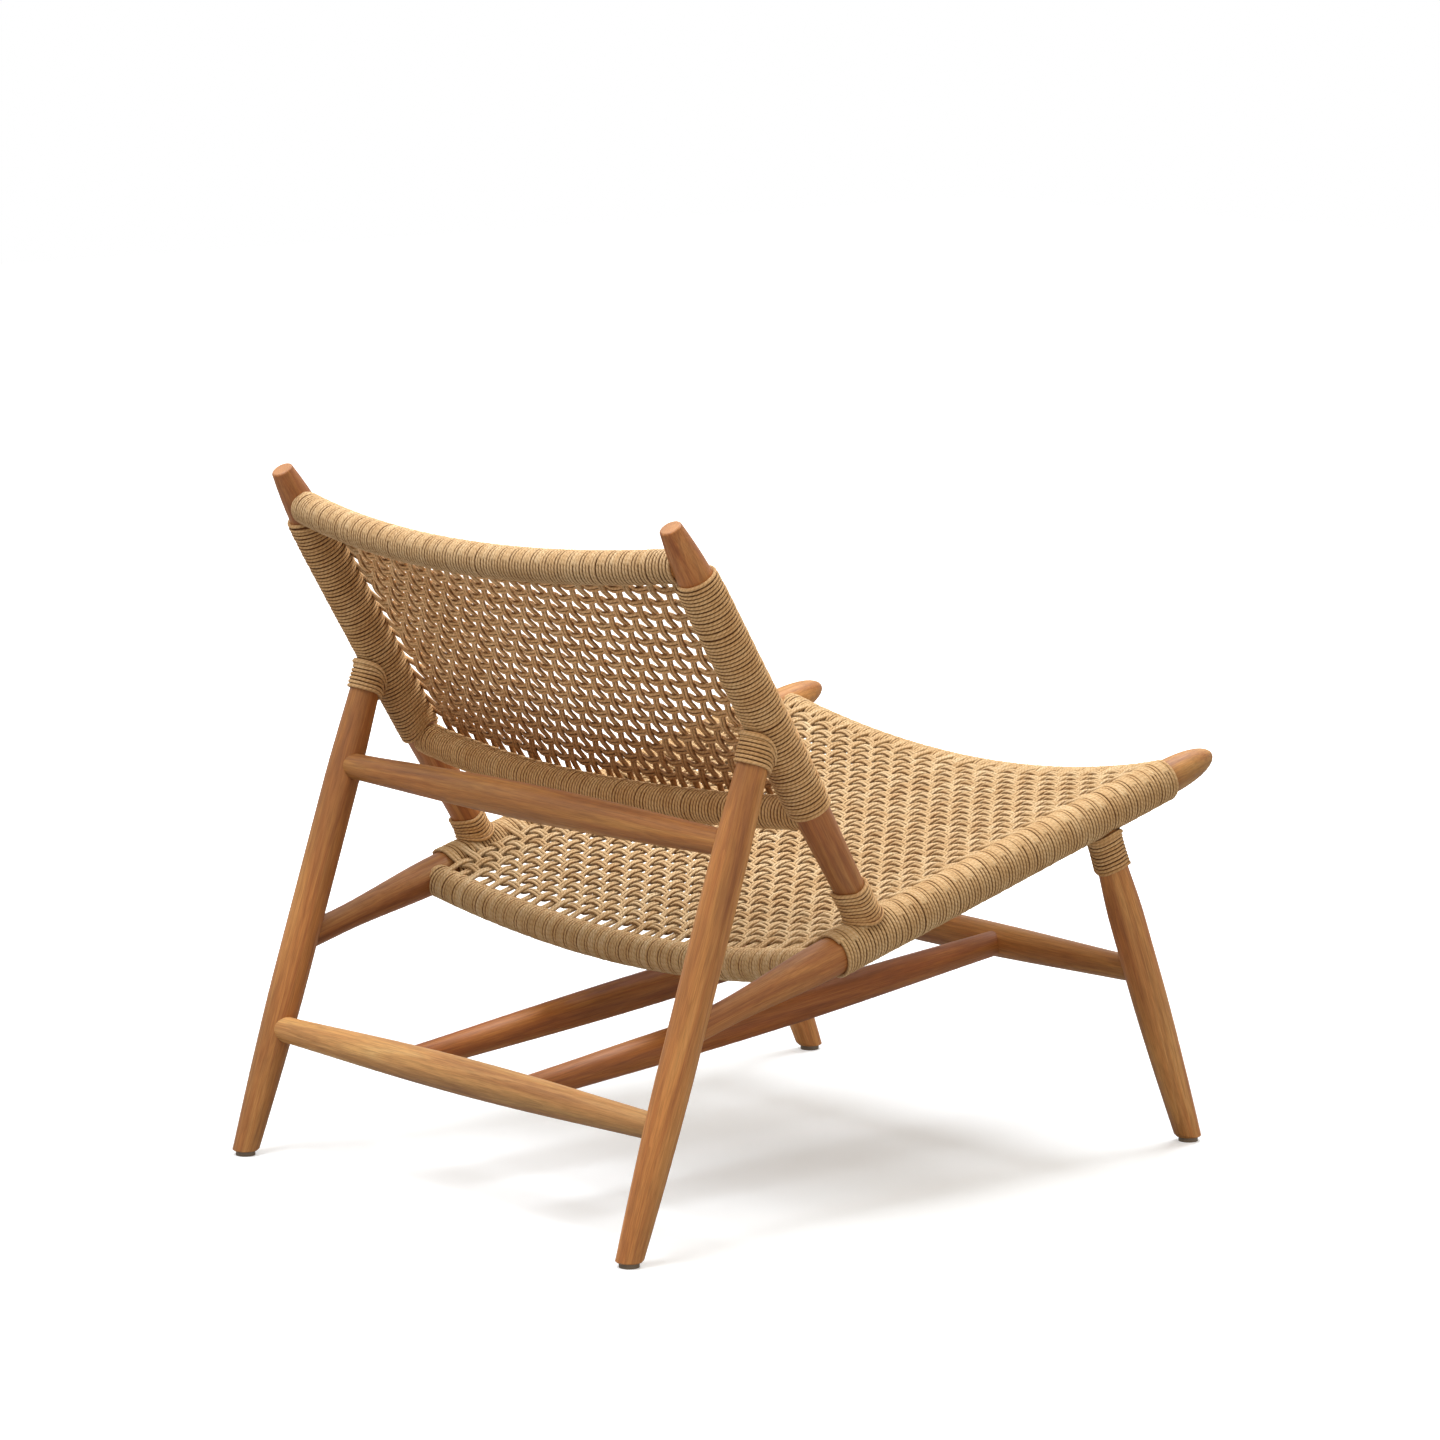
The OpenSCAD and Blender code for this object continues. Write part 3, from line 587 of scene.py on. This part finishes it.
    def side_end(self, z, px, py):
        """x and y of a weft's end: tangent to the side wrap and then over it.

        Where a post's foot stands on the wrap, it ends low against the wrap's inner side."""
        c = self.side_half(z)
        r = self.side_r(z) + CORD_R + REST
        if self.foot_at is not None and abs(z - self.foot_at) < FOOT_ROOM:
            a = np.radians([152.0])
            return c + (r - 0.8) * np.cos(a), (r - 0.8) * np.sin(a)
        d = math.hypot(px - c, py)
        tangent = math.atan2(py, px - c) - math.acos(min(1.0, r / d))
        a = np.linspace(tangent, tangent - math.radians(75), 7)
        return c + r * np.cos(a), r * np.sin(a)


SEAT = Panel(
    name="seat", origin=rail_mid(0), up=SEAT_UP, along=RAIL_DIR,
    ends=(REAR_RAIL_AT, FRONT_RAIL_AT), bows=(REAR_DIP, FRONT_DIP), crown=13.0,
    side_half=half, side_r=rail_r, side_start=RAIL_WRAP[0], edge=SEAT_EDGE,
    warp_pitch=15.7, weft_pitch=15.9, warp_wave=1.5, weft_wave=2.3, cord_r=1.95, foot_at=POST_AT)
BACK = Panel(
    name="back", origin=post_mid(0), up=BACK_UP, along=-POST_DIR,
    ends=(-TOP_RAIL_AT, -BOTTOM_RAIL_AT), bows=(TOP_BOW, BOTTOM_BOW), crown=8.6,
    side_half=lambda z: POST_X, side_r=lambda z: post_r(-z), side_start=-POST_WRAP[1], edge=BACK_EDGE,
    warp_pitch=15.9, weft_pitch=16.9, warp_wave=1.7, weft_wave=2.1, cord_r=1.88)


# ---------------------------------------------------------------- lashed collars
def cope(rod, at_head, phi, other, clear):
    """Places along a rod, at the angles phi, where a cord round it rests on the other piece.

    Near the rod's head or its foot, they are the distance clear from the other piece's axis."""
    if at_head:
        t = np.full(len(phi), rod.length - 30)
        sign = -1
    else:
        t = np.full(len(phi), 30.0)
        sign = 1
    d = rod.d - (rod.d @ other.d) * other.d
    a = d @ d
    for _ in range(4):
        p = rod.start + (rod.radius(t) + CORD_R)[:, None] * rod.out(phi) - other.start
        w = p - (p @ other.d)[:, None] * other.d
        b = 2 * w @ d
        c = (w * w).sum(1) - clear ** 2
        t = (sign * np.sqrt(np.maximum(b * b - 4 * a * c, 0)) - b) / (2 * a)
    return t


def collar(rod, at_head, edge, other, clear, side, cords):
    """Cord lashed round the head or foot of a rod, from a straight edge up to another piece.

    Where there is little room the turns crowd together, lie over each other and dip past the edge."""
    steps = 60
    dip = 5.0
    soft = 2.2 * PITCH
    stacks = (0.0, 2.5, 1.2)
    phi = np.linspace(0, TURN, steps + 1)
    rest = cope(rod, at_head, phi, other, clear)
    away = np.sign(rest.mean() - edge)
    room = (rest - edge) * away
    tight = smooth((room.max() - room) / (room.max() - room.min()))
    room = room + dip * tight
    for j in range(int(room.max() / PITCH) + 2):
        natural = (j + 0.5) * PITCH
        over = np.maximum(natural - room + soft, 0)
        squeeze = np.exp(-over / soft)
        along = np.where(over > 0, room - soft * squeeze, natural)
        t = edge + away * (along - dip * tight) + wander(steps + 1, 0.18, 9, ring=True)
        lift = CORD_R + (1 - squeeze) * stacks[j % 3] + wander(steps + 1, 0.08, 9, ring=True)
        path = mirrored(rod.point(t, phi, lift), side)
        cords.add(path, mirrored(rod.out(phi), side), ring=True, bare=j == 0)


# ---------------------------------------------------------------- materials
WHITE = (1.0, 1.0, 1.0)


class Nodes:
    """A small helper that builds the node tree of a material or a world."""

    def __init__(self, owner):
        self.owner = owner
        self.owner.use_nodes = True
        self.tree = owner.node_tree
        self.tree.nodes.clear()

    def fill(self, socket, value):
        """Links the socket to the output of another node, or else sets its value."""
        if isinstance(value, bpy.types.NodeSocket):
            self.tree.links.new(value, socket)
        else:
            socket.default_value = value

    def add(self, kind, inputs=None, **settings):
        node = self.tree.nodes.new("ShaderNode" + kind)
        for key, value in settings.items():
            setattr(node, key, value)
        for key, value in (inputs or {}).items():
            self.fill(node.inputs[key], value)
        return node

    def math(self, operation, a, b=0.0, c=0.0):
        return self.add("Math", {0: a, 1: b, 2: c}, operation=operation).outputs[0]

    def length(self, vector):
        return self.add("VectorMath", {0: vector}, operation="LENGTH").outputs["Value"]

    def object_place(self):
        return self.add("TexCoord").outputs["Object"]

    def mapping(self, vector, scale, location=(0.0, 0.0, 0.0)):
        inputs = {"Vector": vector, "Scale": scale, "Location": location}
        return self.add("Mapping", inputs).outputs[0]

    def stretched(self, vector, scale):
        """The vector with its z, along the grain, scaled."""
        return self.mapping(vector, (1.0, 1.0, scale))

    def span(self, value, low, high, to_low=0.0, to_high=1.0, kind="LINEAR"):
        """The values from low to high spread from to_low to to_high, and held there beyond."""
        inputs = {"Value": value, "From Min": low, "From Max": high, "To Min": to_low, "To Max": to_high}
        return self.add("MapRange", inputs, interpolation_type=kind).outputs[0]

    def noise(self, vector, scale, detail=3.0, rough=0.55, distortion=0.0):
        inputs = {"Vector": vector, "Scale": scale, "Detail": detail, "Roughness": rough,
                  "Distortion": distortion}
        return self.add("TexNoise", inputs).outputs["Fac"]

    def ramp(self, factor, stops):
        node = self.add("ValToRGB", {"Fac": factor})
        elements = node.color_ramp.elements
        while len(elements) < len(stops):
            elements.new(0.5)
        for element, (position, colour) in zip(elements, stops):
            element.position = position
            element.color = (*colour, 1.0)
        return node.outputs["Color"]

    def mix(self, factor, a, b, blend="MIX"):
        node = self.add("Mix", data_type="RGBA", blend_type=blend)
        sockets = {socket.name: socket for socket in node.inputs if socket.enabled}
        self.fill(sockets["Factor"], factor)
        for key, value in (("A", a), ("B", b)):
            self.fill(sockets[key], (*value, 1.0) if isinstance(value, tuple) else value)
        return [socket for socket in node.outputs if socket.enabled][0]

    def multiply(self, a, b):
        return self.mix(1.0, a, b, "MULTIPLY")

    def surface(self, colour, rough, height, strength, distance, specular=0.5):
        """Ends the material with a principled surface whose bump is strength high at that distance."""
        inputs = {"Height": height, "Strength": strength, "Distance": distance}
        bump = self.add("Bump", inputs).outputs[0]
        inputs = {"Base Color": colour, "Roughness": rough, "Normal": bump, "Specular IOR Level": specular}
        return self.finish(self.add("BsdfPrincipled", inputs).outputs[0])

    def finish(self, shader):
        self.add("OutputMaterial", {"Surface": shader})
        return self.owner


def grain_colour(n, grain):
    """Bands of brown, with a hue that drifts between redder and yellower."""
    bands = n.noise(grain, 70.0, 4.0, 0.60, 0.9)
    hue = n.noise(n.stretched(grain, 3.0), 33.0, 2.0)
    colour = n.ramp(bands, [(0.26, (0.260, 0.092, 0.025)), (0.42, (0.390, 0.157, 0.046)),
                            (0.57, (0.480, 0.221, 0.070)), (0.74, (0.560, 0.298, 0.112))])
    redder = n.multiply(colour, (1.08, 0.90, 0.78))
    yellower = n.multiply(colour, (0.94, 1.12, 1.22))
    return n.mix(hue, redder, yellower)


def late_wood(n, turned, grain, seed):
    """How dark the growth rings are, round a heart that lies beside the piece, a new way for each seed."""
    heart = math.radians(137.5 * seed)
    off = (0.034 * math.cos(heart), 0.034 * math.sin(heart), 0.0)
    radius = n.length(n.mapping(turned, (1.0, 1.0, 0.0), off))
    wobble = n.noise(n.stretched(grain, 2.2), 22.0, 2.0)
    ring = n.math("FRACT", n.math("MULTIPLY_ADD", radius, 190.0, n.math("MULTIPLY", wobble, 5.0)))
    return n.span(ring, 0.45, 1.0, 0.0, 0.26, "SMOOTHSTEP")


def end_grain(n, direction):
    """How much of the end grain's paler colour shows: most where the surface faces along the grain."""
    normal = n.add("TexCoord").outputs["Normal"]
    inputs = {0: normal, 1: tuple(direction)}
    facing = n.add("VectorMath", inputs, operation="DOT_PRODUCT").outputs["Value"]
    return n.span(n.math("ABSOLUTE", facing), 0.80, 0.95, 0.0, 0.55)


def wood(name, direction, centre, seed, tint, tip):
    """Oiled teak sawn from beside the heart, with its grain along the piece.

    Beyond tip, metres from the centre along the grain, it is paler."""
    n = Nodes(bpy.data.materials.new(name))
    turn = Vector(direction).rotation_difference(Vector((0, 0, 1)))
    inputs = {"Vector": n.object_place(), "Rotation": turn.to_euler(), "Location": -(turn @ Vector(centre))}
    turned = n.add("Mapping", inputs).outputs[0]
    grain = n.mapping(turned, (1.0, 1.0, 0.05), (0.31 * seed, 0.17 * seed, 0.7 * seed))
    streaks = n.noise(grain, 300.0, 3.0, 0.65, 0.3)
    pores = n.noise(n.stretched(grain, 0.8), 1100.0, 2.0)
    broad = n.noise(n.stretched(grain, 4.0), 16.0, 2.0)

    colour = n.mix(late_wood(n, turned, grain, seed), grain_colour(n, grain), (0.215, 0.078, 0.022))
    colour = n.mix(n.span(streaks, 0.54, 0.72, 0.0, 0.26), colour, (0.180, 0.062, 0.018))
    colour = n.mix(end_grain(n, direction), colour, (0.620, 0.390, 0.215))
    shade = n.math("MULTIPLY", n.span(pores, 0.36, 0.60, 0.80, 1.05), n.span(broad, 0.3, 0.7, 0.82, 1.30))
    shades = n.add("CombineColor", {k: n.math("MULTIPLY", shade, part) for k, part in enumerate(tint)})
    colour = n.multiply(colour, shades.outputs[0])
    if tip:
        along = n.add("SeparateXYZ", {0: turned}).outputs[2]
        colour = n.mix(n.span(along, tip - 0.02, tip), colour, n.multiply(colour, (1.35, 1.55, 1.65)))
    rough = n.span(streaks, 0.0, 1.0, 0.44, 0.60)
    return n.surface(colour, rough, n.math("ADD", pores, streaks), 0.12, 0.0006, 0.45)


def twist(n, along, around):
    """The two plies of a cord: how high they stand over the groove between them, and their fibres."""
    slip_at = n.add("CombineXYZ", {0: n.math("MULTIPLY", along, 9.0)}).outputs[0]
    slip = n.math("MULTIPLY", n.noise(slip_at, 1.0), 3.0)
    turn = n.math("ADD", n.math("MULTIPLY_ADD", along, 115.0, around), slip)
    ply = n.math("ABSOLUTE", n.math("SINE", n.math("MULTIPLY", turn, TURN)))
    inputs = {0: n.math("MULTIPLY", along, 70.0), 1: n.math("MULTIPLY", turn, 5.0)}
    fibre = n.noise(n.add("CombineXYZ", inputs).outputs[0], 2.6, 4.0, 0.65)
    return n.math("POWER", ply, 0.45), fibre


def paper_colour(n, where, fibre):
    """Brown paper in patches, with a tone of its own for each cord."""
    patch = n.noise(where, 45.0, 3.0)
    tone = n.add("Attribute", attribute_name="tone").outputs["Fac"]
    value = n.math("MULTIPLY_ADD", patch, 0.34, n.math("MULTIPLY", tone, 0.14))
    value = n.math("MULTIPLY_ADD", fibre, 0.52, value)
    return n.ramp(value, [(0.28, (0.400, 0.235, 0.103)), (0.50, (0.575, 0.402, 0.226)),
                          (0.70, (0.700, 0.560, 0.368))])


def painted_light_and_shade_by_height(n, where, covered, tint, top_painted_light, low_painted_shade):
    """The back's painted light and shade: a paler tint as painted light for the cords' ends over the top
    rail, and a darker one as painted shade towards the bottom.
    """
    height = n.add("SeparateXYZ", {0: where}).outputs[2]
    low = n.span(height, 0.50, 0.43)
    top = n.math("MULTIPLY", n.span(covered, 0.70, BARE), n.span(height, 0.50, 0.60))
    return n.mix(top, n.mix(low, tint, low_painted_shade), top_painted_light)


def painted_side_shade(n, where, around, covered, start, depth):
    """Painted shade: how dark a cord's sides are painted where its neighbours touch it, unevenly."""
    side = n.math("ABSOLUTE", n.math("SINE", n.math("MULTIPLY", around, TURN)))
    side = n.span(side, start, 1.0, 0.0, depth, "SMOOTHSTEP")
    uneven = n.span(n.noise(where, 160.0, 2.0), 0.3, 0.6, 0.62, 1.0)
    return n.math("MULTIPLY", side, n.math("MULTIPLY", covered, uneven))


def cord_material(name, side_shade_from, side_shade_depth, tint, top_painted_light=None, low_painted_shade=None):
    """Twisted paper cord. Its sides darken as painted shade, by the depth given, from where the sine round
    it passes the start given.
    """
    n = Nodes(bpy.data.materials.new(name))
    parts = n.add("SeparateXYZ", {0: n.add("UVMap", uv_map="cord").outputs[0]})
    along = parts.outputs[0]
    around = parts.outputs[1]
    where = n.object_place()
    covered = n.add("Attribute", attribute_name="covered").outputs["Fac"]
    groove, fibre = twist(n, along, around)
    if top_painted_light:
        tint = painted_light_and_shade_by_height(n, where, covered, tint, top_painted_light, low_painted_shade)
    colour = n.multiply(paper_colour(n, where, fibre), tint)
    dark = painted_side_shade(n, where, around, covered, side_shade_from, side_shade_depth)
    # Painted shade: the cord's sides are mixed towards dark brown where its neighbours touch it.
    colour = n.mix(dark, colour, (0.095, 0.030, 0.007))
    # Painted shade: the groove between the two plies darkens the colour as well as the bump, most in blue.
    shade = n.span(groove, 0.0, 1.0, 0.66, 1.05)
    inputs = {0: n.math("POWER", shade, 0.8), 1: shade, 2: n.math("POWER", shade, 1.3)}
    colour = n.multiply(colour, n.add("CombineColor", inputs).outputs[0])
    height = n.math("MULTIPLY_ADD", groove, 0.7, n.math("MULTIPLY", fibre, 0.6))
    return n.surface(colour, 0.62, height, 0.60, 0.0007, 0.10)


def plastic():
    n = Nodes(bpy.data.materials.new("glide_plastic"))
    grain = n.noise(n.object_place(), 1500.0, 2.0)
    colour = n.ramp(grain, [(0.3, (0.175, 0.140, 0.105)), (0.7, (0.230, 0.190, 0.150))])
    return n.surface(colour, 0.5, grain, 0.08, 0.0003)


# Copies of one paper cord whose tints and side shade stand in for light: the near-neutral tints are for the
# lit seat and top rail, the warmer, more saturated ones are painted shade on the posts, collars and bottom
# rail, and the back's weave is brightened as painted light, paler over the top rail and darker towards the
# bottom as painted shade.
WOUND_PAINTED_SHADE = cord_material("paper_cord_wound_painted_shade", 0.50, 0.92, (1.06, 0.96, 0.83))
SEAT_WOUND = cord_material("paper_cord_seat_wound", 0.50, 0.90, (1.00, 0.97, 0.90))
WOVEN = cord_material("paper_cord_woven", 0.62, 0.66, (1.01, 1.03, 1.03))
BACK_WOVEN_PAINTED_LIGHT_AND_SHADE = cord_material("paper_cord_back_painted_light_and_shade", 0.54, 0.82, (1.42, 1.29, 1.18),
                           top_painted_light=(1.02, 1.01, 1.00), low_painted_shade=(0.82, 0.63, 0.50))
TOP_WOUND = cord_material("paper_cord_top_wound", 0.50, 0.90, (1.02, 1.02, 1.02))
LOW_WOUND_PAINTED_SHADE = cord_material("paper_cord_low_wound_painted_shade", 0.50, 0.92, (1.02, 0.87, 0.69))
GLIDE = plastic()

# ---------------------------------------------------------------- wooden pieces and glides
# Painted light and shade on each wooden piece, by its name or by that of its pair: the lower rear stretcher
# is brightened as if lit from behind, the long stretcher darkened as shaded under the seat.
PAINTED_LIGHT_TINTS = {
    "rear_stretcher_lower": (1.09, 1.30, 1.46),
    "rear_stretcher_upper": (0.78, 0.75, 0.60),
    "long_stretcher": (0.73, 0.57, 0.36),
    "front_stretcher": (0.87, 0.86, 0.74),
    "back_post": (0.76, 0.65, 0.58),
    "rear_leg": (1.02, 0.99, 0.90),
    "rear_leg_left": (0.79, 0.76, 0.68),
    "front_leg": (1.03, 1.03, 0.96),
    "side_rail": (0.74, 0.68, 0.57),
}
# The direction of each wooden piece's grain, on the left side where it is one of a pair.
GRAINS = {
    "rear_leg": REAR_LEG.d,
    "front_leg": FRONT_LEG.d,
    "back_post": POST.d,
    "side_rail": RAIL.d,
    "long_stretcher": np.array([0.0, -0.995, 0.0955]),
    "seat_rear_rail": X,
    "seat_front_rail": X,
    "back_bottom_rail": X,
    "back_top_rail": X,
    "rear_stretcher_upper": X,
    "rear_stretcher_lower": X,
    "front_stretcher": X,
}


def piece_wood(name, node, seed):
    """The wood of the named piece, or nothing where the piece isn't wooden."""
    stem, _, side = name.rpartition("_")
    piece = stem if side in ("left", "right") and stem in GRAINS else name
    if piece not in GRAINS:
        return None
    direction = GRAINS[piece]
    if side == "right":
        direction = mirrored(direction, -1)
    centre = np.mean([node.matrix_world @ Vector(corner) for corner in node.bound_box], axis=0)
    tint = PAINTED_LIGHT_TINTS.get(name, PAINTED_LIGHT_TINTS.get(piece, WHITE))
    tip = (RAIL_L / 2 - 60) * MM if piece == "side_rail" else None
    return wood("teak_" + name, direction, centre, seed, tint, tip)


def dress_frame():
    """Gives the wooden pieces and the glides, which are the CAD meshes, their materials."""
    for index, (name, node) in enumerate(sorted(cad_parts.items())):
        material = GLIDE if name.startswith("glide") else piece_wood(name, node, index + 1)
        if material:
            node.data.materials.clear()
            node.data.materials.append(material)
            node.data.polygons.foreach_set("use_smooth", np.ones(len(node.data.polygons), bool))


# ---------------------------------------------------------------- cords in place
def make_side_wraps():
    rail_wrap_r = 21.0
    post_wrap_r = 20.5
    rail_joints = (joint(RAIL, POST.d, POST_AT, rail_wrap_r),
                   joint(RAIL, -FRONT_LEG.d, FRONT_LEG_AT, rail_wrap_r))
    post_joints = (joint(POST, -REAR_LEG.d, HEAD_AT, post_wrap_r),)
    rail_inward = RAIL.angle_of(-X)
    post_inward = POST.angle_of(-X)
    post_tilts = ((BOTTOM_RAIL_AT, post_inward, 16.0, 34.0), (TOP_RAIL_AT, post_inward, -10.0, 16.0))
    for side, label in ((1, "left"), (-1, "right")):
        cords = Cords()
        helix(RAIL, *RAIL_WRAP, rail_inward, side, cords, rail_joints)
        cords.build("cord_rail_wrap_" + label, SEAT_WOUND, "side_rail_wrap_" + label)
        cords = Cords()
        helix(POST, *POST_WRAP, post_inward, side, cords, post_joints, post_tilts)
        cords.build("cord_post_wrap_" + label, WOUND_PAINTED_SHADE, "back_post_wrap_" + label)


def make_cross_wraps():
    jobs = ((SEAT, 0, 8.0, SEAT_WOUND, "seat_rear_wrap"),
            (SEAT, 1, 6.0, SEAT_WOUND, "seat_front_wrap"),
            (BACK, 0, 11.0, TOP_WOUND, "back_top_wrap"),
            (BACK, 1, 5.0, LOW_WOUND_PAINTED_SHADE, "back_bottom_wrap"))
    for panel, k, inset, material, node in jobs:
        cords = Cords()
        panel.wrap_cross_rail(k, inset, cords)
        cords.build("cord_" + node, material, node)


def make_collars():
    rear_edge = REAR_LEG_L - 47.0
    front_edge = FRONT_LEG_L - 59.5
    for side, label, foot_edge in ((1, "left", 47.0), (-1, "right", 59.0)):
        jobs = (("rear_leg_collar_", REAR_LEG, True, rear_edge, POST, POST_R + 2.3 * CORD_R),
                ("post_foot_collar_", POST, False, foot_edge, RAIL, RAIL_R + 2.4 * CORD_R),
                ("front_leg_collar_", FRONT_LEG, True, front_edge, RAIL, 18.9 + 2.2 * CORD_R))
        for name, rod, at_head, edge, other, clear in jobs:
            cords = Cords()
            collar(rod, at_head, edge, other, clear, side, cords)
            cords.build("cord_" + name + label, WOUND_PAINTED_SHADE, name + label)


def make_weave():
    for panel, material in ((SEAT, WOVEN), (BACK, BACK_WOVEN_PAINTED_LIGHT_AND_SHADE)):
        warps = Cords()
        wefts = Cords()
        for i in range(panel.warps):
            panel.warp(i, warps)
        for j in range(panel.rows):
            panel.weft(j, wefts)
        warps.build(f"cord_{panel.name}_warps", material, f"{panel.name}_warps")
        wefts.build(f"cord_{panel.name}_wefts", material, f"{panel.name}_wefts")


# ---------------------------------------------------------------- stage, light and camera
def floor_material():
    """Grey paper whose glow, for the camera alone, sets how far the shadow under the chair fades."""
    n = Nodes(bpy.data.materials.new("floor"))
    seen = n.add("LightPath").outputs["Is Camera Ray"]
    colour = n.mix(seen, (0.42, 0.43, 0.44), (0.68, 0.733, 0.790))
    where = n.object_place()
    level = n.span(n.length(where), 0.5, 2.2, 0.275, 1.10, "SMOOTHSTEP")
    oval = n.length(n.mapping(where, (1.0, 0.5, 1.0), (0.13, 0.0, 0.0)))
    level = n.math("ADD", level, n.span(oval, 0.06, 0.26, 0.0, 0.13, "SMOOTHSTEP"))
    glow = n.add("Emission", {"Color": (*WHITE, 1.0), "Strength": n.math("MULTIPLY", seen, level)})
    diffuse = n.add("BsdfDiffuse", {"Color": colour})
    return n.finish(n.add("AddShader", {0: diffuse.outputs[0], 1: glow.outputs[0]}).outputs[0])


def make_floor():
    mesh = bpy.data.meshes.new("floor")
    mesh.from_pydata([(-9, -9, 0), (9, -9, 0), (9, 9, 0), (-9, 9, 0)], [], [(0, 1, 2, 3)])
    floor = bpy.data.objects.new("floor", mesh)
    bpy.context.scene.collection.objects.link(floor)
    mesh.materials.append(floor_material())


def make_world():
    """A room that is white where the camera or a glossy surface sees it, and lights the rest warmly."""
    world = bpy.data.worlds.new("studio")
    bpy.context.scene.world = world
    n = Nodes(world)
    path = n.add("LightPath").outputs
    seen = n.math("MAXIMUM", path["Is Camera Ray"], path["Is Transmission Ray"])
    seen = n.math("MAXIMUM", seen, path["Is Glossy Ray"])
    room = n.add("Background", {"Color": (1.0, 0.81, 0.60, 1.0), "Strength": 0.48}).outputs[0]
    white = n.add("Background", {"Color": (*WHITE, 1.0)}).outputs[0]
    mixed = n.add("MixShader", {0: seen, 1: room, 2: white}).outputs[0]
    n.add("OutputWorld", {"Surface": mixed})


def make_light(name, position, target, size, power, colour=WHITE):
    lamp = bpy.data.lights.new(name, "AREA")
    lamp.shape = "RECTANGLE"
    lamp.size, lamp.size_y = size
    lamp.energy = power
    lamp.color = colour
    obj = bpy.data.objects.new(name, lamp)
    obj.location = position
    obj.rotation_euler = (Vector(target) - Vector(position)).to_track_quat("-Z", "Y").to_euler()
    bpy.context.scene.collection.objects.link(obj)


CAMERA_AZIMUTH = math.radians(228.66)
CAMERA_ELEVATION = math.radians(9.38)
CAMERA_PLACE = (-4.4671, 3.9362, 1.4269)


def make_camera():
    level = math.cos(CAMERA_ELEVATION)
    back = Vector((math.sin(CAMERA_AZIMUTH) * level, -math.cos(CAMERA_AZIMUTH) * level,
                   math.sin(CAMERA_ELEVATION)))
    right = Vector((math.cos(CAMERA_AZIMUTH), math.sin(CAMERA_AZIMUTH), 0.0))
    up = back.cross(right)
    camera = bpy.data.cameras.new("camera")
    camera.sensor_width = 36.0
    camera.lens = 149.35
    camera.clip_end = 100.0
    obj = bpy.data.objects.new("camera", camera)
    turn = Matrix((right, up, back)).transposed().to_4x4()
    obj.matrix_world = Matrix.Translation(CAMERA_PLACE) @ turn
    bpy.context.scene.collection.objects.link(obj)
    bpy.context.scene.camera = obj


dress_frame()
make_side_wraps()
make_cross_wraps()
make_collars()
make_weave()
make_floor()
make_world()
make_light("key_rear", (0.25, 1.6, 3.4), (0, 0, 0.3), (2.0, 2.0), 104.0)
make_light("key_front", (0.25, -1.5, 3.4), (0, 0, 0.3), (2.0, 2.0), 99.0)
make_light("fill", (-3.4, 0.4, 1.7), (0, 0, 0.35), (2.5, 2.0), 22.0, (1.0, 0.86, 0.70))
make_camera()
bpy.context.scene.view_settings.view_transform = "Standard"
